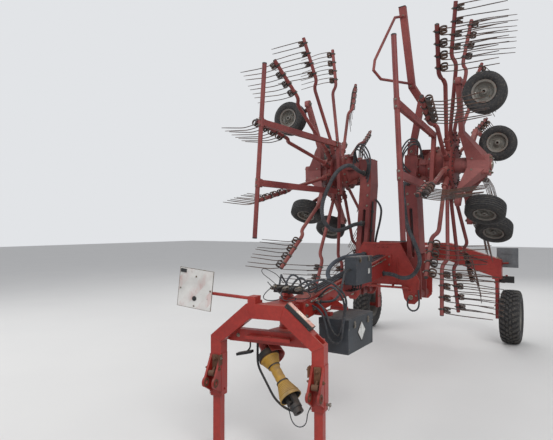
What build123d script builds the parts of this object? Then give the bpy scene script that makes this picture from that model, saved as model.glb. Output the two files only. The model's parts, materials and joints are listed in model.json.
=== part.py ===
"""Twin-rotor hay rake folded for transport: headstock, beam, rear axle, two raised booms with tined rotors.

Frame: X to the machine's left, Y rearward, Z up, millimetres, origin on the ground at the middle of the
machine's box. Each boom and what it carries is drawn once, lying flat as it works, with its own origin on
the boom's hinge (x outward, y rearward, z up), then folded up about the hinge and mirrored for the other side.
"""
from build123d import *
import math
import os

# Driving places: the origin is the middle of the whole machine's box, which the raised rotors widen unevenly
mid_x = -40.0                   # the main beam's middle
hitch_y = -2565.5               # lower link pins
kingpin_y = hitch_y + 490       # vertical pin that the headstock turns on
hub_y = hitch_y + 2815          # rotor axes, boom hinges and lift cylinders
axle_y = hitch_y + 4850         # rear wheels

# Headstock
headstock_turn = 9              # degrees it stands turned on its pin
link_height = 550
link_half_span = 385
ear_gap = 62
ear_thick = 16
ear_top = link_height + 185
link_pin_r = 14.5
arch_tube = 85
arch_depth = 90
arch_y = hitch_y + 120         # middle of the arch and its legs
arch_shoulder_half = link_half_span + arch_tube / 2
arch_shoulder_z = 865
arch_top_half = 142
arch_top_z = 1108
arch_foot_z = 432
cross_z = 862
kingpin_r = 35
kingpin_clear = 0.3
boss_low = cross_z + 26         # top of the lower kingpin boss
boss_high = arch_top_z - 60     # underside of the upper one

# Parking stands
stand_tube = 60
stand_wall_clear = 0.3
stand_top = 770
sleeve_top = arch_shoulder_z + 80   # each sleeve is open through the arch's slope, so the stand can rise
foot_size = 130
foot_thick = 12

# Main beam and centre frame
beam_width = 150
beam_front_z = 985
beam_front_height = 150
beam_rear_z = 1225
beam_rear_height = 210
frame_half_y = 275              # half distance between the tower's plates
plate_thick = 20
frame_bottom_z = 1005
frame_top_z = 1475
floor_half = 260

# Boom hinge and boom
hinge_x = 345
hinge_z = 880
hinge_r = 48
hinge_pin_r = 22
boom_length = 1465              # hinge to rotor axis
boom_width = 230
boom_fork_gap = 176             # between the cheeks of the boom's foot, where the lift cylinders pass
boom_fork_end = 470
boom_rise = 130                 # the boom climbs to the gear when it lies in work
boom_depth_foot = 120
boom_depth_end = 140
boom_window_mid = 700
boom_window_length = 560
boom_window_height = 36
fold_left = 87.0                # degrees up from level, as parked
fold_right = 88.5

# Rotor
arms = 13
arm_phase = 84.0                # the arm that stands nearest to outwards, from the rear
rotor_r = 1665
arm_plane = -295                # the arms' roots
arm_cone = 7.0                  # degrees that the arms slope towards the ground
arm_r = 21
crank_rise = 58
head_r = 250
head_top = -250
head_bottom = -340
socket_r = 31
socket_out = 380
column_r = 85
column_clear = 0.3
tine_pairs = 4
tine_pitch = 60
arm_tip = 35                    # the arm's end past its outermost tine
crank_r1 = rotor_r - arm_tip - 2 * tine_pairs * tine_pitch
crank_r0 = crank_r1 - 70
tine_wire = 9.5
coil_r = 34
coil_drop = arm_r + coil_r * math.cos(math.pi / 8) + 1
tine_tip_z = -868
tine_kick = 45
tine_start = 120
cam_lift = 65.0                 # degrees that the cam has turned the tines of the arms at the rear
cam_half = 62.0                 # half the sector in which it holds them up

# Gear housing on the boom's end
boom_top = boom_rise + boom_depth_end / 2
boom_end = boom_length + 110
gear_neck_r = 118
gear_ribs = 6
gear_r = 215
gear_top = boom_rise - boom_depth_end / 2
gear_bottom = head_top + 0.3
dome_r = 150

# Rotor chassis: kingpins from the rotor axis (outward, rearward), and how each caster stands
casters = [
    ("front_outer", 790, -480, 180.0),
    ("rear_outer", 450, 540, 180.0),
    ("front_inner", -410, -240, 120.0),
    ("rear_inner", -600, 450, 125.0),
]
chassis_top = -402
chassis_end_bottom = -450
chassis_bend_r = 380            # where the limbs level off, short of the wheels
chassis_box_top = -470
chassis_box_bottom = -690
chassis_box_half = 108
caster_trail = 140
caster_wheel_r = 202
caster_wheel_w = 160
caster_rim_r = 112
caster_axle_z = -(hinge_z - caster_wheel_r)
caster_pin_r = 16
caster_tube_r = 30

# Guards
guard_bar_r = 22
guard_y = -1760
guard_z = -270                  # the bar's height at the rotor's axis
guard_root_z = -150             # height of its arms at the gear
guard_slope = 5.4               # degrees that the bar climbs outwards
guard_in, guard_out = -800, 860
guard_arm_x = (-270, 300)

# Rear axle and wheels
track_half = 1080
tyre_r = 378
tyre_w = 262
rim_r = 200
steer_x = track_half - tyre_w / 2 - 49    # steering pivot, clear of the tyre's side
axle_mid_z = 1275
axle_mid_height = 270
axle_end_z = 1062
axle_end_height = 238

# Lift cylinder
cyl_base = (-205, 1080)         # x, z of the left barrel's pin, on the far side of the centre frame
cyl_eye = (250, 60)             # x, z of the rod's eye on the boom, in the boom's frame
cyl_offset = 52                 # left cylinder ahead of the hinge's middle, right one behind it
barrel_r = 42
cyl_rod_r = 22
barrel_length = 385
rod_eye_w = 50
slot_clear = 6


def unit(x, y):
    """Length one vector along x, y."""
    size = math.hypot(x, y)
    return x / size, y / size


def round_bar(points, radius, sides=12):
    """A bar of many flat sides along straight runs through the points, mitred at its bends."""
    with BuildPart() as bar:
        with BuildLine() as path:
            Polyline(*points)
        with BuildSketch(Plane(origin=points[0], z_dir=Vector(*points[1]) - Vector(*points[0]))):
            RegularPolygon(radius, sides)
        sweep(path=path.line, transition=Transition.RIGHT)
    return bar.part


def square_bar(points, width, height, side):
    """A rectangular bar along straight runs; its width lies along side."""
    with BuildPart() as bar:
        with BuildLine() as path:
            Polyline(*points)
        run = Vector(*points[1]) - Vector(*points[0])
        with BuildSketch(Plane(origin=points[0], x_dir=side, z_dir=run)):
            Rectangle(width, height)
        sweep(path=path.line, transition=Transition.RIGHT)
    return bar.part


def fold(angle):
    """Where a boom's frame stands once folded up by angle."""
    return Location((hinge_x, hub_y, hinge_z)) * Location((0, 0, 0), (0, -angle, 0))


def write(shape, name):
    """One piece, set over from the main beam's middle to the frame's origin."""
    shape = Location((mid_x, 0, 0)) * shape
    shape.label = name
    export_step(shape, f"parts/{name}.step")


def write_pair(shape, name):
    """The same piece on both booms: folded on the left, folded and mirrored on the right."""
    write(fold(fold_left) * shape, f"left_{name}")
    write(mirror(fold(fold_right) * shape, about=Plane.YZ), f"right_{name}")


def write_mirrored(shape, name):
    write(shape, f"left_{name}")
    write(mirror(shape, about=Plane.YZ), f"right_{name}")


# Hoop's tube and the hoses
hoop_tube_r = 14
boom_hose_d = 46
valve_hose_d = 20

os.makedirs("parts", exist_ok=True)

# Boxes and marker board carried by the main beam
tool_box_x, tool_box_y, tool_box_z = 275, hitch_y + 980, 796
tool_box_size = (250, 500, 264)
control_box_x, control_box_y, control_box_z = 158, hitch_y + 1510, 1246
control_box_size = (112, 370, 250)
board_x, board_y, board_z, board_size = -560, hitch_y + 75, 1190, 290

# Headstock, drawn square to the machine and then turned on its pin
turned = Location((0, kingpin_y, 0)) * Location((0, 0, 0), (0, 0, headstock_turn)) * Location((0, -kingpin_y, 0))
leg_x = link_half_span
with BuildPart() as headstock:
    # arch of box section: legs, shoulders and top
    with BuildSketch(Plane.XZ.offset(-arch_y + arch_depth / 2)):
        with BuildLine():
            Polyline(
                (-arch_shoulder_half, arch_foot_z), (-arch_shoulder_half, arch_shoulder_z),
                (-arch_top_half, arch_top_z), (arch_top_half, arch_top_z),
                (arch_shoulder_half, arch_shoulder_z), (arch_shoulder_half, arch_foot_z),
                (arch_shoulder_half - arch_tube, arch_foot_z),
                (arch_shoulder_half - arch_tube, arch_shoulder_z - arch_tube / 2),
                (arch_top_half - arch_tube / 3, arch_top_z - 1.2 * arch_tube),
                (-arch_top_half + arch_tube / 3, arch_top_z - 1.2 * arch_tube),
                (-arch_shoulder_half + arch_tube, arch_shoulder_z - arch_tube / 2),
                (-arch_shoulder_half + arch_tube, arch_foot_z), close=True)
        make_face()
    extrude(amount=-arch_depth)
    # lower cross beam behind the arch
    with Locations((0, arch_y + 75, cross_z)):
        Box(2 * arch_shoulder_half - 210, 60, 90)
    for side in (-1, 1):
        with Locations((side * (arch_shoulder_half - 130), arch_y + 75, cross_z - 10)):
            Box(180, 60, 60)
    # two plates back to the kingpin bosses
    for z in (cross_z, arch_top_z - 40):
        with BuildSketch(Plane.XY.offset(z - 12)):
            with BuildLine():
                Polyline((-170, arch_y), (170, arch_y), (60, kingpin_y + 30), (-60, kingpin_y + 30), close=True)
            make_face()
        extrude(amount=24)
    with BuildSketch(Plane.XY.offset(cross_z - 30)):
        with Locations((0, kingpin_y)):
            Circle(62)
    extrude(amount=boss_low - cross_z + 30)
    with BuildSketch(Plane.XY.offset(boss_high)):
        with Locations((0, kingpin_y)):
            Circle(62)
    extrude(amount=arch_top_z - boss_high)
    # clevis plates for the tractor's lower links: a rounded nose ahead of each leg
    for side in (-1, 1):
        for edge in (-1, 1):
            x = side * link_half_span + edge * (ear_gap + ear_thick) / 2
            with BuildSketch(Plane.YZ.offset(x - ear_thick / 2)):
                with BuildLine():
                    Polyline((arch_y - 40, ear_top), (hitch_y - 8, link_height + 34), (hitch_y - 8, link_height - 34),
                             (arch_y - 30, link_height - 95), (arch_y + 40, link_height - 70), (arch_y + 40, ear_top),
                             close=True)
                make_face()
                with Locations((hitch_y, link_height)):
                    Circle(36)
            extrude(amount=ear_thick)
    with Locations(Location((0, hitch_y, link_height), (0, 90, 0))):
        Cylinder(link_pin_r, 2 * arch_shoulder_half + 200, mode=Mode.SUBTRACT)
    # the legs are open sleeves for the parking stands
    for side in (-1, 1):
        with Locations((side * leg_x, arch_y, (arch_foot_z + sleeve_top) / 2 - 1)):
            Box(stand_tube + 2 * stand_wall_clear, stand_tube + 2 * stand_wall_clear,
                sleeve_top - arch_foot_z + 2, mode=Mode.SUBTRACT)
        with Locations(Location((side * leg_x, arch_y, arch_foot_z + 45), (0, 90, 0))):
            Cylinder(9, arch_tube + 60, mode=Mode.SUBTRACT)
    with Locations((0, kingpin_y, cross_z)):
        Cylinder(kingpin_r + kingpin_clear, 700, mode=Mode.SUBTRACT)
    # arm of the marker board
    with Locations((-100, arch_y, arch_top_z + 25)):
        Box(60, arch_depth, 52)
board_arm = round_bar([(-120, board_y + 22.4, arch_top_z + 36), (board_x, board_y + 22.4, arch_top_z + 60),
                       (board_x, board_y + 22.4, arch_top_z + 130)], 12)
write(turned * (headstock.part + board_arm), "headstock")

for side, name in ((1, "left"), (-1, "right")):
    with BuildPart() as stand:
        with Locations((side * leg_x, arch_y, (stand_top + foot_thick) / 2)):
            Box(stand_tube, stand_tube, stand_top - foot_thick)
        with Locations((side * leg_x, arch_y, foot_thick / 2)):
            Box(foot_size, foot_size, foot_thick)
    write(turned * stand.part, f"{name}_stand")

# Drive shaft resting on the headstock
shaft_start = Vector(-75, hitch_y + 290, 742)
shaft_end = Vector(225, hitch_y + 170, 476)    # hangs behind and below the lower link pins, clear of them
shaft_way = (shaft_end - shaft_start).normalized()
shaft_length = (shaft_end - shaft_start).length
with BuildPart() as gearbox:
    with BuildSketch(Plane.XY.offset(690)):
        with Locations((shaft_start.X, shaft_start.Y + 70)):
            RectangleRounded(116, 100, 16)
    extrude(amount=cross_z - 12.3 - 690)
    with BuildSketch(Plane(origin=shaft_start - shaft_way * 70, z_dir=shaft_way)):
        Circle(30)
    extrude(amount=114.7)
write(gearbox.part, "input_gearbox")
with BuildPart() as shaft:
    with BuildSketch(Plane(origin=shaft_start + shaft_way * 45, z_dir=shaft_way)):
        Circle(30)
    extrude(amount=40)
    with BuildSketch(Plane(origin=shaft_start + shaft_way * 85, z_dir=shaft_way)):
        Circle(72)
    with BuildSketch(Plane(origin=shaft_start + shaft_way * 150, z_dir=shaft_way)):
        Circle(50)
    loft()
    with BuildSketch(Plane(origin=shaft_start + shaft_way * 150, z_dir=shaft_way)):
        Circle(36)
    extrude(amount=shaft_length - 260)
    with BuildSketch(Plane(origin=shaft_end - shaft_way * 110, z_dir=shaft_way)):
        Circle(44)
    with BuildSketch(Plane(origin=shaft_end, z_dir=shaft_way)):
        Circle(80)
    loft()
    with BuildSketch(Plane(origin=shaft_end, z_dir=shaft_way)):
        Circle(72)
    with BuildSketch(Plane(origin=shaft_end - shaft_way * 80, z_dir=shaft_way)):
        Circle(46)
    loft(mode=Mode.SUBTRACT)
write(shaft.part, "drive_shaft_guard")
with BuildPart() as yoke:
    with BuildSketch(Plane(origin=shaft_end - shaft_way * 79.7, z_dir=shaft_way)):
        Circle(34)
    extrude(amount=72)
    with BuildSketch(Plane(origin=shaft_end - shaft_way * 20, z_dir=shaft_way)):
        for edge in (-1, 1):
            with Locations((edge * 25, 0)):
                Rectangle(15, 52)
    extrude(amount=72)
    with BuildSketch(Plane(origin=shaft_end + shaft_way * 20, z_dir=shaft_way)):
        Rectangle(60, 22)
    extrude(amount=22)
    with BuildSketch(Plane(origin=shaft_end + shaft_way * 52, z_dir=shaft_way)):
        Circle(36)
        Circle(17.5, mode=Mode.SUBTRACT)
    extrude(amount=62)
write(yoke.part, "drive_shaft_yoke")

# Main beam, centre frame and rear frame
with BuildPart() as beam:
    beam_end = hub_y - frame_half_y - plate_thick / 2
    with BuildSketch(Plane.YZ.offset(-beam_width / 2)):
        with BuildLine():
            Polyline((kingpin_y + 100, beam_front_z - beam_front_height / 2),
                     (kingpin_y + 100, beam_front_z + beam_front_height / 2),
                     (beam_end, beam_rear_z + beam_rear_height / 2), (beam_end, beam_rear_z - beam_rear_height / 2),
                     close=True)
        make_face()
    extrude(amount=beam_width)
    with Locations((0, kingpin_y, (boss_low + boss_high) / 2)):
        Cylinder(58, boss_high - boss_low - 0.6)
    with Locations((0, kingpin_y + 70, (boss_low + boss_high) / 2)):
        Box(104, 130, min(boss_high - boss_low - 6, beam_front_height))
    with Locations((0, kingpin_y, (cross_z + arch_top_z) / 2)):
        Cylinder(kingpin_r, arch_top_z - cross_z + 76)
    # bearers of the tool box, foot of the control box
    for y in (tool_box_y - 150, tool_box_y + 150):
        inner, outer = beam_width / 2, tool_box_x - tool_box_size[0] / 2 + 60
        with Locations(((inner + outer) / 2 - 6, y, tool_box_z + tool_box_size[2] / 2 + 15.3)):
            Box(outer - inner + 12, 50, 30)
        with Locations((inner + 4, y, tool_box_z + tool_box_size[2] / 2 + 45)):
            Box(16, 50, 90)
    with Locations((beam_width / 2 - 10, control_box_y, control_box_z - control_box_size[2] / 2 + 40)):
        Box(2 * (control_box_x - control_box_size[0] / 2 - beam_width / 2 - 0.3) + 20, 120, 60)
write(beam.part, "main_beam")

with BuildPart() as tower:
    for edge in (-1, 1):
        y = hub_y + edge * frame_half_y
        with BuildSketch(Plane.XZ.offset(-y + plate_thick / 2)):
            with BuildLine():
                Polyline((-hinge_x - 75, hinge_z - 30), (-hinge_x - 85, hinge_z + 190), (-215, frame_top_z),
                         (215, frame_top_z), (hinge_x + 85, hinge_z + 190), (hinge_x + 75, hinge_z - 30),
                         (hinge_x + 35, hinge_z - 75), (hinge_x - 35, hinge_z - 75), (hinge_x - 80, hinge_z - 20),
                         (235, frame_bottom_z), (-235, frame_bottom_z), (-hinge_x + 80, hinge_z - 20),
                         (-hinge_x + 35, hinge_z - 75), (-hinge_x - 35, hinge_z - 75), close=True)
            make_face()
            with Locations((-hinge_x, hinge_z), (hinge_x, hinge_z)):
                Circle(hinge_pin_r + 0.3, mode=Mode.SUBTRACT)
        extrude(amount=-plate_thick)
    with Locations((0, hub_y, frame_bottom_z + 10)):
        Box(2 * floor_half, 2 * frame_half_y, 20)
    # slots in its floor for the lift cylinders, which dip through it as the booms come down
    for side in (1, -1):
        start, end = cyl_base[0] + 41, floor_half + 1
        width = cyl_offset + barrel_r + slot_clear
        with Locations((side * (start + end) / 2, hub_y - side * width / 2, frame_bottom_z + 10)):
            Box(end - start, width, 24, mode=Mode.SUBTRACT)
    with Locations((0, hub_y, frame_top_z - 50)):
        Box(160, 2 * frame_half_y, 70)
    # ears and pin of each lift cylinder's barrel
    for side in (1, -1):
        foot = (side * cyl_base[0], hub_y - side * cyl_offset)
        for edge in (-1, 1):
            with Locations((foot[0], foot[1] + edge * 35, (frame_bottom_z + 20 + cyl_base[1] + 30) / 2)):
                Box(76, 12, cyl_base[1] + 30 - frame_bottom_z - 20)
        with Locations(Location((foot[0], foot[1], cyl_base[1]), (90, 0, 0))):
            Cylinder(15, 82)
write(tower.part, "centre_frame")

with BuildPart() as rear:
    with BuildSketch(Plane.YZ.offset(-90)):
        with BuildLine():
            front = hub_y + frame_half_y + plate_thick / 2
            Polyline((front, 1120), (front, 1370), (axle_y, axle_mid_z + 100), (axle_y, axle_mid_z - 100), close=True)
        make_face()
    extrude(amount=180)
    half = (axle_mid_height / 2, axle_end_height / 2)
    with BuildSketch(Plane.XZ.offset(-axle_y + 70)):
        with BuildLine():
            Polyline((-steer_x - 60, axle_end_z - half[1]), (-steer_x - 60, axle_end_z + half[1]),
                     (-250, axle_mid_z + half[0]), (250, axle_mid_z + half[0]),
                     (steer_x + 60, axle_end_z + half[1]), (steer_x + 60, axle_end_z - half[1]),
                     (steer_x - 60, axle_end_z - half[1]), (250, axle_mid_z - half[0]),
                     (-250, axle_mid_z - half[0]), (-steer_x + 60, axle_end_z - half[1]), close=True)
        make_face()
    extrude(amount=-140)
    for side in (-1, 1):
        with Locations((side * steer_x, axle_y, axle_end_z)):
            Cylinder(25.3, 400, mode=Mode.SUBTRACT)
write(rear.part, "rear_axle_frame")

with BuildPart() as knuckle:
    top = axle_end_z - axle_end_height / 2 - 0.3
    with Locations((steer_x, axle_y, axle_end_z - 10)):
        Cylinder(25, axle_end_height + 40)
    with Locations((steer_x, axle_y, top - 20)):
        Box(120, 150, 40)
    with Locations((steer_x, axle_y, (top + tyre_r) / 2 - 40)):
        Box(40, 130, top - tyre_r)
    with Locations(Location(((steer_x + track_half) / 2, axle_y, tyre_r), (0, 90, 0))):
        Cylinder(30, track_half - steer_x + 40)
write_mirrored(knuckle.part, "rear_knuckle")

with BuildPart() as rim:
    with BuildSketch(Plane.XZ.offset(-axle_y)):
        with BuildLine():
            Polyline((track_half - 110, tyre_r + 100), (track_half - 110, tyre_r + rim_r),
                     (track_half + 110, tyre_r + rim_r), (track_half + 110, tyre_r + 150),
                     (track_half + 50, tyre_r + 150), (track_half + 50, tyre_r + 31),
                     (track_half - 10, tyre_r + 31), (track_half - 10, tyre_r + 60),
                     (track_half + 30, tyre_r + 60), (track_half + 30, tyre_r + 170),
                     (track_half - 90, tyre_r + 170), (track_half - 90, tyre_r + 100), close=True)
        make_face()
    revolve(axis=Axis((0, axle_y, tyre_r), (1, 0, 0)))
write_mirrored(rim.part, "rear_rim")

with BuildPart() as tyre:
    with BuildSketch(Plane.XZ.offset(-axle_y)):
        with Locations((track_half, tyre_r + (tyre_r + rim_r) / 2)):
            RectangleRounded(tyre_w, tyre_r - rim_r, 45)
    revolve(axis=Axis((0, axle_y, tyre_r), (1, 0, 0)))
write_mirrored(tyre.part, "rear_tyre")

# Boxes on the beam
with BuildPart() as toolbox:
    with Locations((tool_box_x, tool_box_y, tool_box_z)):
        Box(*tool_box_size)
write(toolbox.part, "tool_box")
with BuildPart() as valve_box:
    with Locations((control_box_x, control_box_y, control_box_z)):
        Box(*control_box_size)
write(valve_box.part, "control_box")
with BuildPart() as board:
    with Locations(Location((board_x, board_y, board_z), (0, 6, 0))):
        Box(board_size, 4, board_size)
write(turned * board.part, "front_marker_board")

# Boom, lying flat; its lug stands ahead of the middle on the left and behind it on the right
for side, name, angle in ((1, "left", fold_left), (-1, "right", fold_right)):
    with BuildPart() as boom:
        with BuildSketch(Plane.XZ.offset(boom_width / 2)):
            with BuildLine():
                Polyline((-40, -62), (-40, 62), (200, 92), (boom_length - 180, boom_top),
                         (boom_end, boom_top), (boom_end, gear_top), (boom_length - 180, gear_top),
                         (200, -48), close=True)
            make_face()
            # window between the boom's two columns
            slope = math.degrees(math.atan2((boom_top + gear_top) / 2 - 22, boom_length - 380))
            with Locations(Location((boom_window_mid, 22 + boom_window_mid * math.tan(math.radians(slope)) - 14), slope)):
                SlotOverall(boom_window_length, boom_window_height, mode=Mode.SUBTRACT)
        extrude(amount=-boom_width)
        # the foot is a fork of two cheeks, open for the lift cylinders
        with Locations((boom_fork_end / 2 - 40, 0, 0)):
            Box(boom_fork_end + 80, boom_fork_gap, 400, mode=Mode.SUBTRACT)
        with Locations(Location((0, 0, 0), (90, 0, 0))):
            Cylinder(hinge_r, 2 * frame_half_y - plate_thick - 1)
            Cylinder(hinge_pin_r, 2 * frame_half_y + plate_thick + 40)
        # spacers either side of the rod's eye, on the pin through the cheeks
        middle = -side * cyl_offset
        for end in (-1, 1):
            inner = middle + end * (rod_eye_w / 2 + 1)
            outer = end * (boom_fork_gap / 2 + 2)
            with Locations(Location((cyl_eye[0], (inner + outer) / 2, cyl_eye[1]), (90, 0, 0))):
                Cylinder(26, abs(outer - inner))
            with Locations(Location((cyl_eye[0], end * (boom_width / 2 + 6), cyl_eye[1]), (90, 0, 0))):
                Cylinder(22, 14)
    if side > 0:
        write(fold(angle) * boom.part, "left_boom")
    else:
        write(mirror(fold(angle) * boom.part, about=Plane.YZ), "right_boom")

with BuildPart() as gear:
    axis_x = boom_length
    with BuildSketch(Plane.XZ):
        with BuildLine():
            Polyline((axis_x, gear_top - 0.3), (axis_x + gear_neck_r, gear_top - 0.3), (axis_x + gear_neck_r + 16, 5),
                     (axis_x + gear_neck_r + 30, -45), (axis_x + gear_r - 28, -78), (axis_x + gear_r - 28, -100),
                     (axis_x + gear_r, -108), (axis_x + gear_r, -150), (axis_x + gear_r - 22, -160),
                     (axis_x + gear_r - 22, gear_bottom), (axis_x, gear_bottom), close=True)
        make_face()
    revolve(axis=Axis((axis_x, 0, 0), (0, 0, 1)))
    # ribs between the neck and the flange
    with Locations((axis_x, 0, (gear_top - 108) / 2 - 15)):
        with PolarLocations(gear_neck_r + 36, gear_ribs, 30):
            Box(88, 12, 100)
write_pair(gear.part, "gear_housing")

with BuildPart() as head:
    with BuildSketch(Plane.XY.offset(head_bottom)):
        with Locations((boom_length, 0)):
            Circle(head_r)
            Circle(column_r + column_clear, mode=Mode.SUBTRACT)
    extrude(amount=head_top - head_bottom)
    with Locations(Location((boom_length, 0, arm_plane))):
        with PolarLocations(0, arms, 90 - arm_phase):
            with Locations(Location(((head_r + socket_out) / 2 - 10, 0, 0), (0, 90, 0))):
                Cylinder(socket_r, socket_out - head_r + 20)


def arm_angle(k):
    """Angle of arm k from the rear towards the outside, in degrees."""
    return arm_phase + 360 / arms * k


def spoke(angle, r, z, side=0.0):
    """Point at radius r and height z on an arm; side moves it along the turn."""
    c, s = math.cos(math.radians(angle)), math.sin(math.radians(angle))
    return (boom_length + r * s + side * c, r * c - side * s, z)


def cam_turn(angle):
    """How far the cam has turned the tines of the arm at this angle."""
    off = abs((angle + 180) % 360 - 180)
    return cam_lift if off < cam_half else 0.0


def arm_height(r):
    """Height of the tine section's axis at radius r: it follows the arm's cone, raised by the crank."""
    return arm_plane + crank_rise - (r - socket_out) * math.tan(math.radians(arm_cone))


arm_solids, tine_solids = [], []
for k in range(arms):
    at = arm_angle(k)
    arm_solids.append(round_bar(
        [spoke(at, socket_out, arm_plane), spoke(at, crank_r0, arm_height(crank_r0) - crank_rise),
         spoke(at, crank_r1, arm_height(crank_r1)), spoke(at, rotor_r, arm_height(rotor_r))], arm_r))
    turn = math.radians(cam_turn(at))

    def tine_point(r, out, kick):
        """Point of a tine: out from the arm's axis and kick ahead of it, before the cam turns it."""
        side = -out * math.sin(turn) + kick * math.cos(turn)
        drop = out * math.cos(turn) + kick * math.sin(turn)
        return spoke(at, r, arm_height(r) - drop, side)

    for pair in range(tine_pairs):
        mid = rotor_r - arm_tip - (2 * pair + 0.5) * tine_pitch
        axis = (Vector(*tine_point(mid + 1, 0, 0)) - Vector(*tine_point(mid, 0, 0))).normalized()
        with BuildPart() as coil:
            centre = Vector(*tine_point(mid, coil_drop, 0))
            towards = Vector(*tine_point(mid, 0, 0)) - centre
            with BuildSketch(Plane(origin=centre - axis * (tine_pitch / 2 + 5), x_dir=towards, z_dir=axis)):
                RegularPolygon(coil_r, 8, rotation=22.5)
            extrude(amount=tine_pitch + 10)
        whole = coil.part
        for leg in (-0.5, 0.5):
            r = mid + leg * tine_pitch
            points = [tine_point(r, coil_drop, coil_r * 0.5), tine_point(r, coil_drop + tine_start, tine_kick),
                      tine_point(r, arm_height(r) - tine_tip_z, 0)]
            whole = whole + square_bar(points, tine_wire, tine_wire, axis)
        tine_solids.append(whole)
rotor = Compound(children=[head.part.solid()] + [a.solid() for a in arm_solids])
tines_node = Compound(children=[s for t in tine_solids for s in t.solids()])
write_pair(rotor, "rotor")
write_pair(tines_node, "tines")

# Rotor chassis: a column through the rotor's head, a box under it and a limb out to each caster
with BuildPart() as chassis:
    with BuildSketch(Plane.XY.offset(gear_bottom)):
        with Locations((boom_length, 0)):
            Circle(column_r)
    extrude(amount=chassis_box_top - 20 - gear_bottom)
    with BuildSketch(Plane.XY.offset(chassis_box_bottom)):
        with Locations((boom_length, 0)):
            RectangleRounded(2 * chassis_box_half, 2 * chassis_box_half, 28)
    extrude(amount=chassis_box_top - chassis_box_bottom)
    with BuildSketch(Plane.XY.offset(chassis_box_bottom)):
        with Locations((boom_length, 0)):
            Circle(60)
    extrude(amount=-16)
for name, out, back, stands in casters:
    ux, uy = unit(out, back)
    reach = math.hypot(out, back)
    side = (-uy, ux, 0)
    bend_r = min(chassis_bend_r, reach - 150)

    def across(r, top, bottom):
        """Plane across the limb at radius r, half way between top and bottom."""
        return Plane(origin=(boom_length + ux * r, uy * r, (top + bottom) / 2), x_dir=side, z_dir=(ux, uy, 0))

    with BuildPart() as limb:
        with BuildSketch(across(60, chassis_box_top - 8, chassis_box_bottom + 8)):
            Rectangle(150, chassis_box_top - chassis_box_bottom - 16)
        with BuildSketch(across(bend_r, chassis_top, chassis_end_bottom)):
            Rectangle(84, chassis_top - chassis_end_bottom)
        loft()
        with BuildSketch(across(bend_r, chassis_top, chassis_end_bottom)):
            Rectangle(84, chassis_top - chassis_end_bottom)
        with BuildSketch(across(reach, chassis_top, chassis_end_bottom)):
            Rectangle(60, chassis_top - chassis_end_bottom)
        loft()
        with BuildSketch(Plane.XY.offset(chassis_end_bottom)):
            with Locations((boom_length + out, back)):
                Circle(caster_tube_r + 14)
        extrude(amount=chassis_top - chassis_end_bottom)
    chassis.part = chassis.part + limb.part
for name, out, back, stands in casters:
    bore = Location((boom_length + out, back, chassis_end_bottom)) * Cylinder(caster_pin_r + 0.5, 400, mode=Mode.PRIVATE)
    chassis.part = chassis.part - bore
write_pair(chassis.part, "rotor_chassis")

# Casters, each swung round its kingpin
for name, out, back, stands in casters:
    place = Location((boom_length + out, back, 0), (0, 0, stands))
    side_y = caster_wheel_w / 2 + 26
    with BuildPart() as fork:
        with Locations((0, 0, (chassis_top + chassis_end_bottom) / 2 - 2)):
            Cylinder(caster_pin_r, chassis_top - chassis_end_bottom + 8)
        with BuildSketch(Plane.XY.offset(chassis_end_bottom - 8.3)):
            with Locations((0, -side_y / 2 + 10)):
                Rectangle(60, side_y + 40)
        extrude(amount=8)
        with BuildSketch(Plane.XZ.offset(side_y - 6)):
            with BuildLine():
                Polyline((-30, chassis_end_bottom - 0.3), (30, chassis_end_bottom - 0.3),
                         (caster_trail + 24, caster_axle_z), (caster_trail, caster_axle_z - 24),
                         (caster_trail - 24, caster_axle_z), close=True)
            make_face()
        extrude(amount=12)
        with Locations(Location((caster_trail, -side_y / 2, caster_axle_z), (90, 0, 0))):
            Cylinder(12.5, side_y + 10)
    write_pair(place * fork.part, f"{name}_fork")
    hub_axis = Axis((caster_trail, 0, caster_axle_z), (0, 1, 0))
    with BuildPart() as wheel_rim:
        with BuildSketch(Plane.YZ.offset(caster_trail)):
            with BuildLine():
                Polyline((-62, caster_axle_z + 13), (62, caster_axle_z + 13), (62, caster_axle_z + 30),
                         (10, caster_axle_z + 34), (10, caster_axle_z + 96), (66, caster_axle_z + 100),
                         (66, caster_axle_z + caster_rim_r), (-66, caster_axle_z + caster_rim_r),
                         (-66, caster_axle_z + 100), (-6, caster_axle_z + 96), (-6, caster_axle_z + 34),
                         (-62, caster_axle_z + 30), close=True)
            make_face()
        revolve(axis=hub_axis)
    with BuildPart() as wheel_tyre:
        with BuildSketch(Plane.YZ.offset(caster_trail)):
            with Locations((0, caster_axle_z + (caster_wheel_r + caster_rim_r) / 2)):
                RectangleRounded(caster_wheel_w, caster_wheel_r - caster_rim_r, 30)
        revolve(axis=hub_axis)
    write_pair(place * (wheel_tyre.part + wheel_rim.part), f"{name}_wheel")

# Guard in front of each rotor
def guard_height(x):
    """Height of the guard bar at x from the rotor's axis."""
    return guard_z + x * math.tan(math.radians(guard_slope))


with BuildPart() as guard:
    middle = (guard_in + guard_out) / 2
    with Locations(Location((boom_length + middle, guard_y, guard_height(middle)), (0, 90 - guard_slope, 0))):
        Cylinder(guard_bar_r, guard_out - guard_in)
    with Locations((boom_length + sum(guard_arm_x) / 2, -gear_r - 30, guard_root_z)):
        Box(guard_arm_x[1] - guard_arm_x[0] + 60, 60, 40)
for x in guard_arm_x:
    arm = square_bar([(boom_length + x, -gear_r - 30, guard_root_z), (boom_length + x, guard_y, guard_height(x))],
                     60, 40, Vector(1, 0, 0))
    guard.part = guard.part + arm
write_pair(guard.part, "guard")

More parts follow.
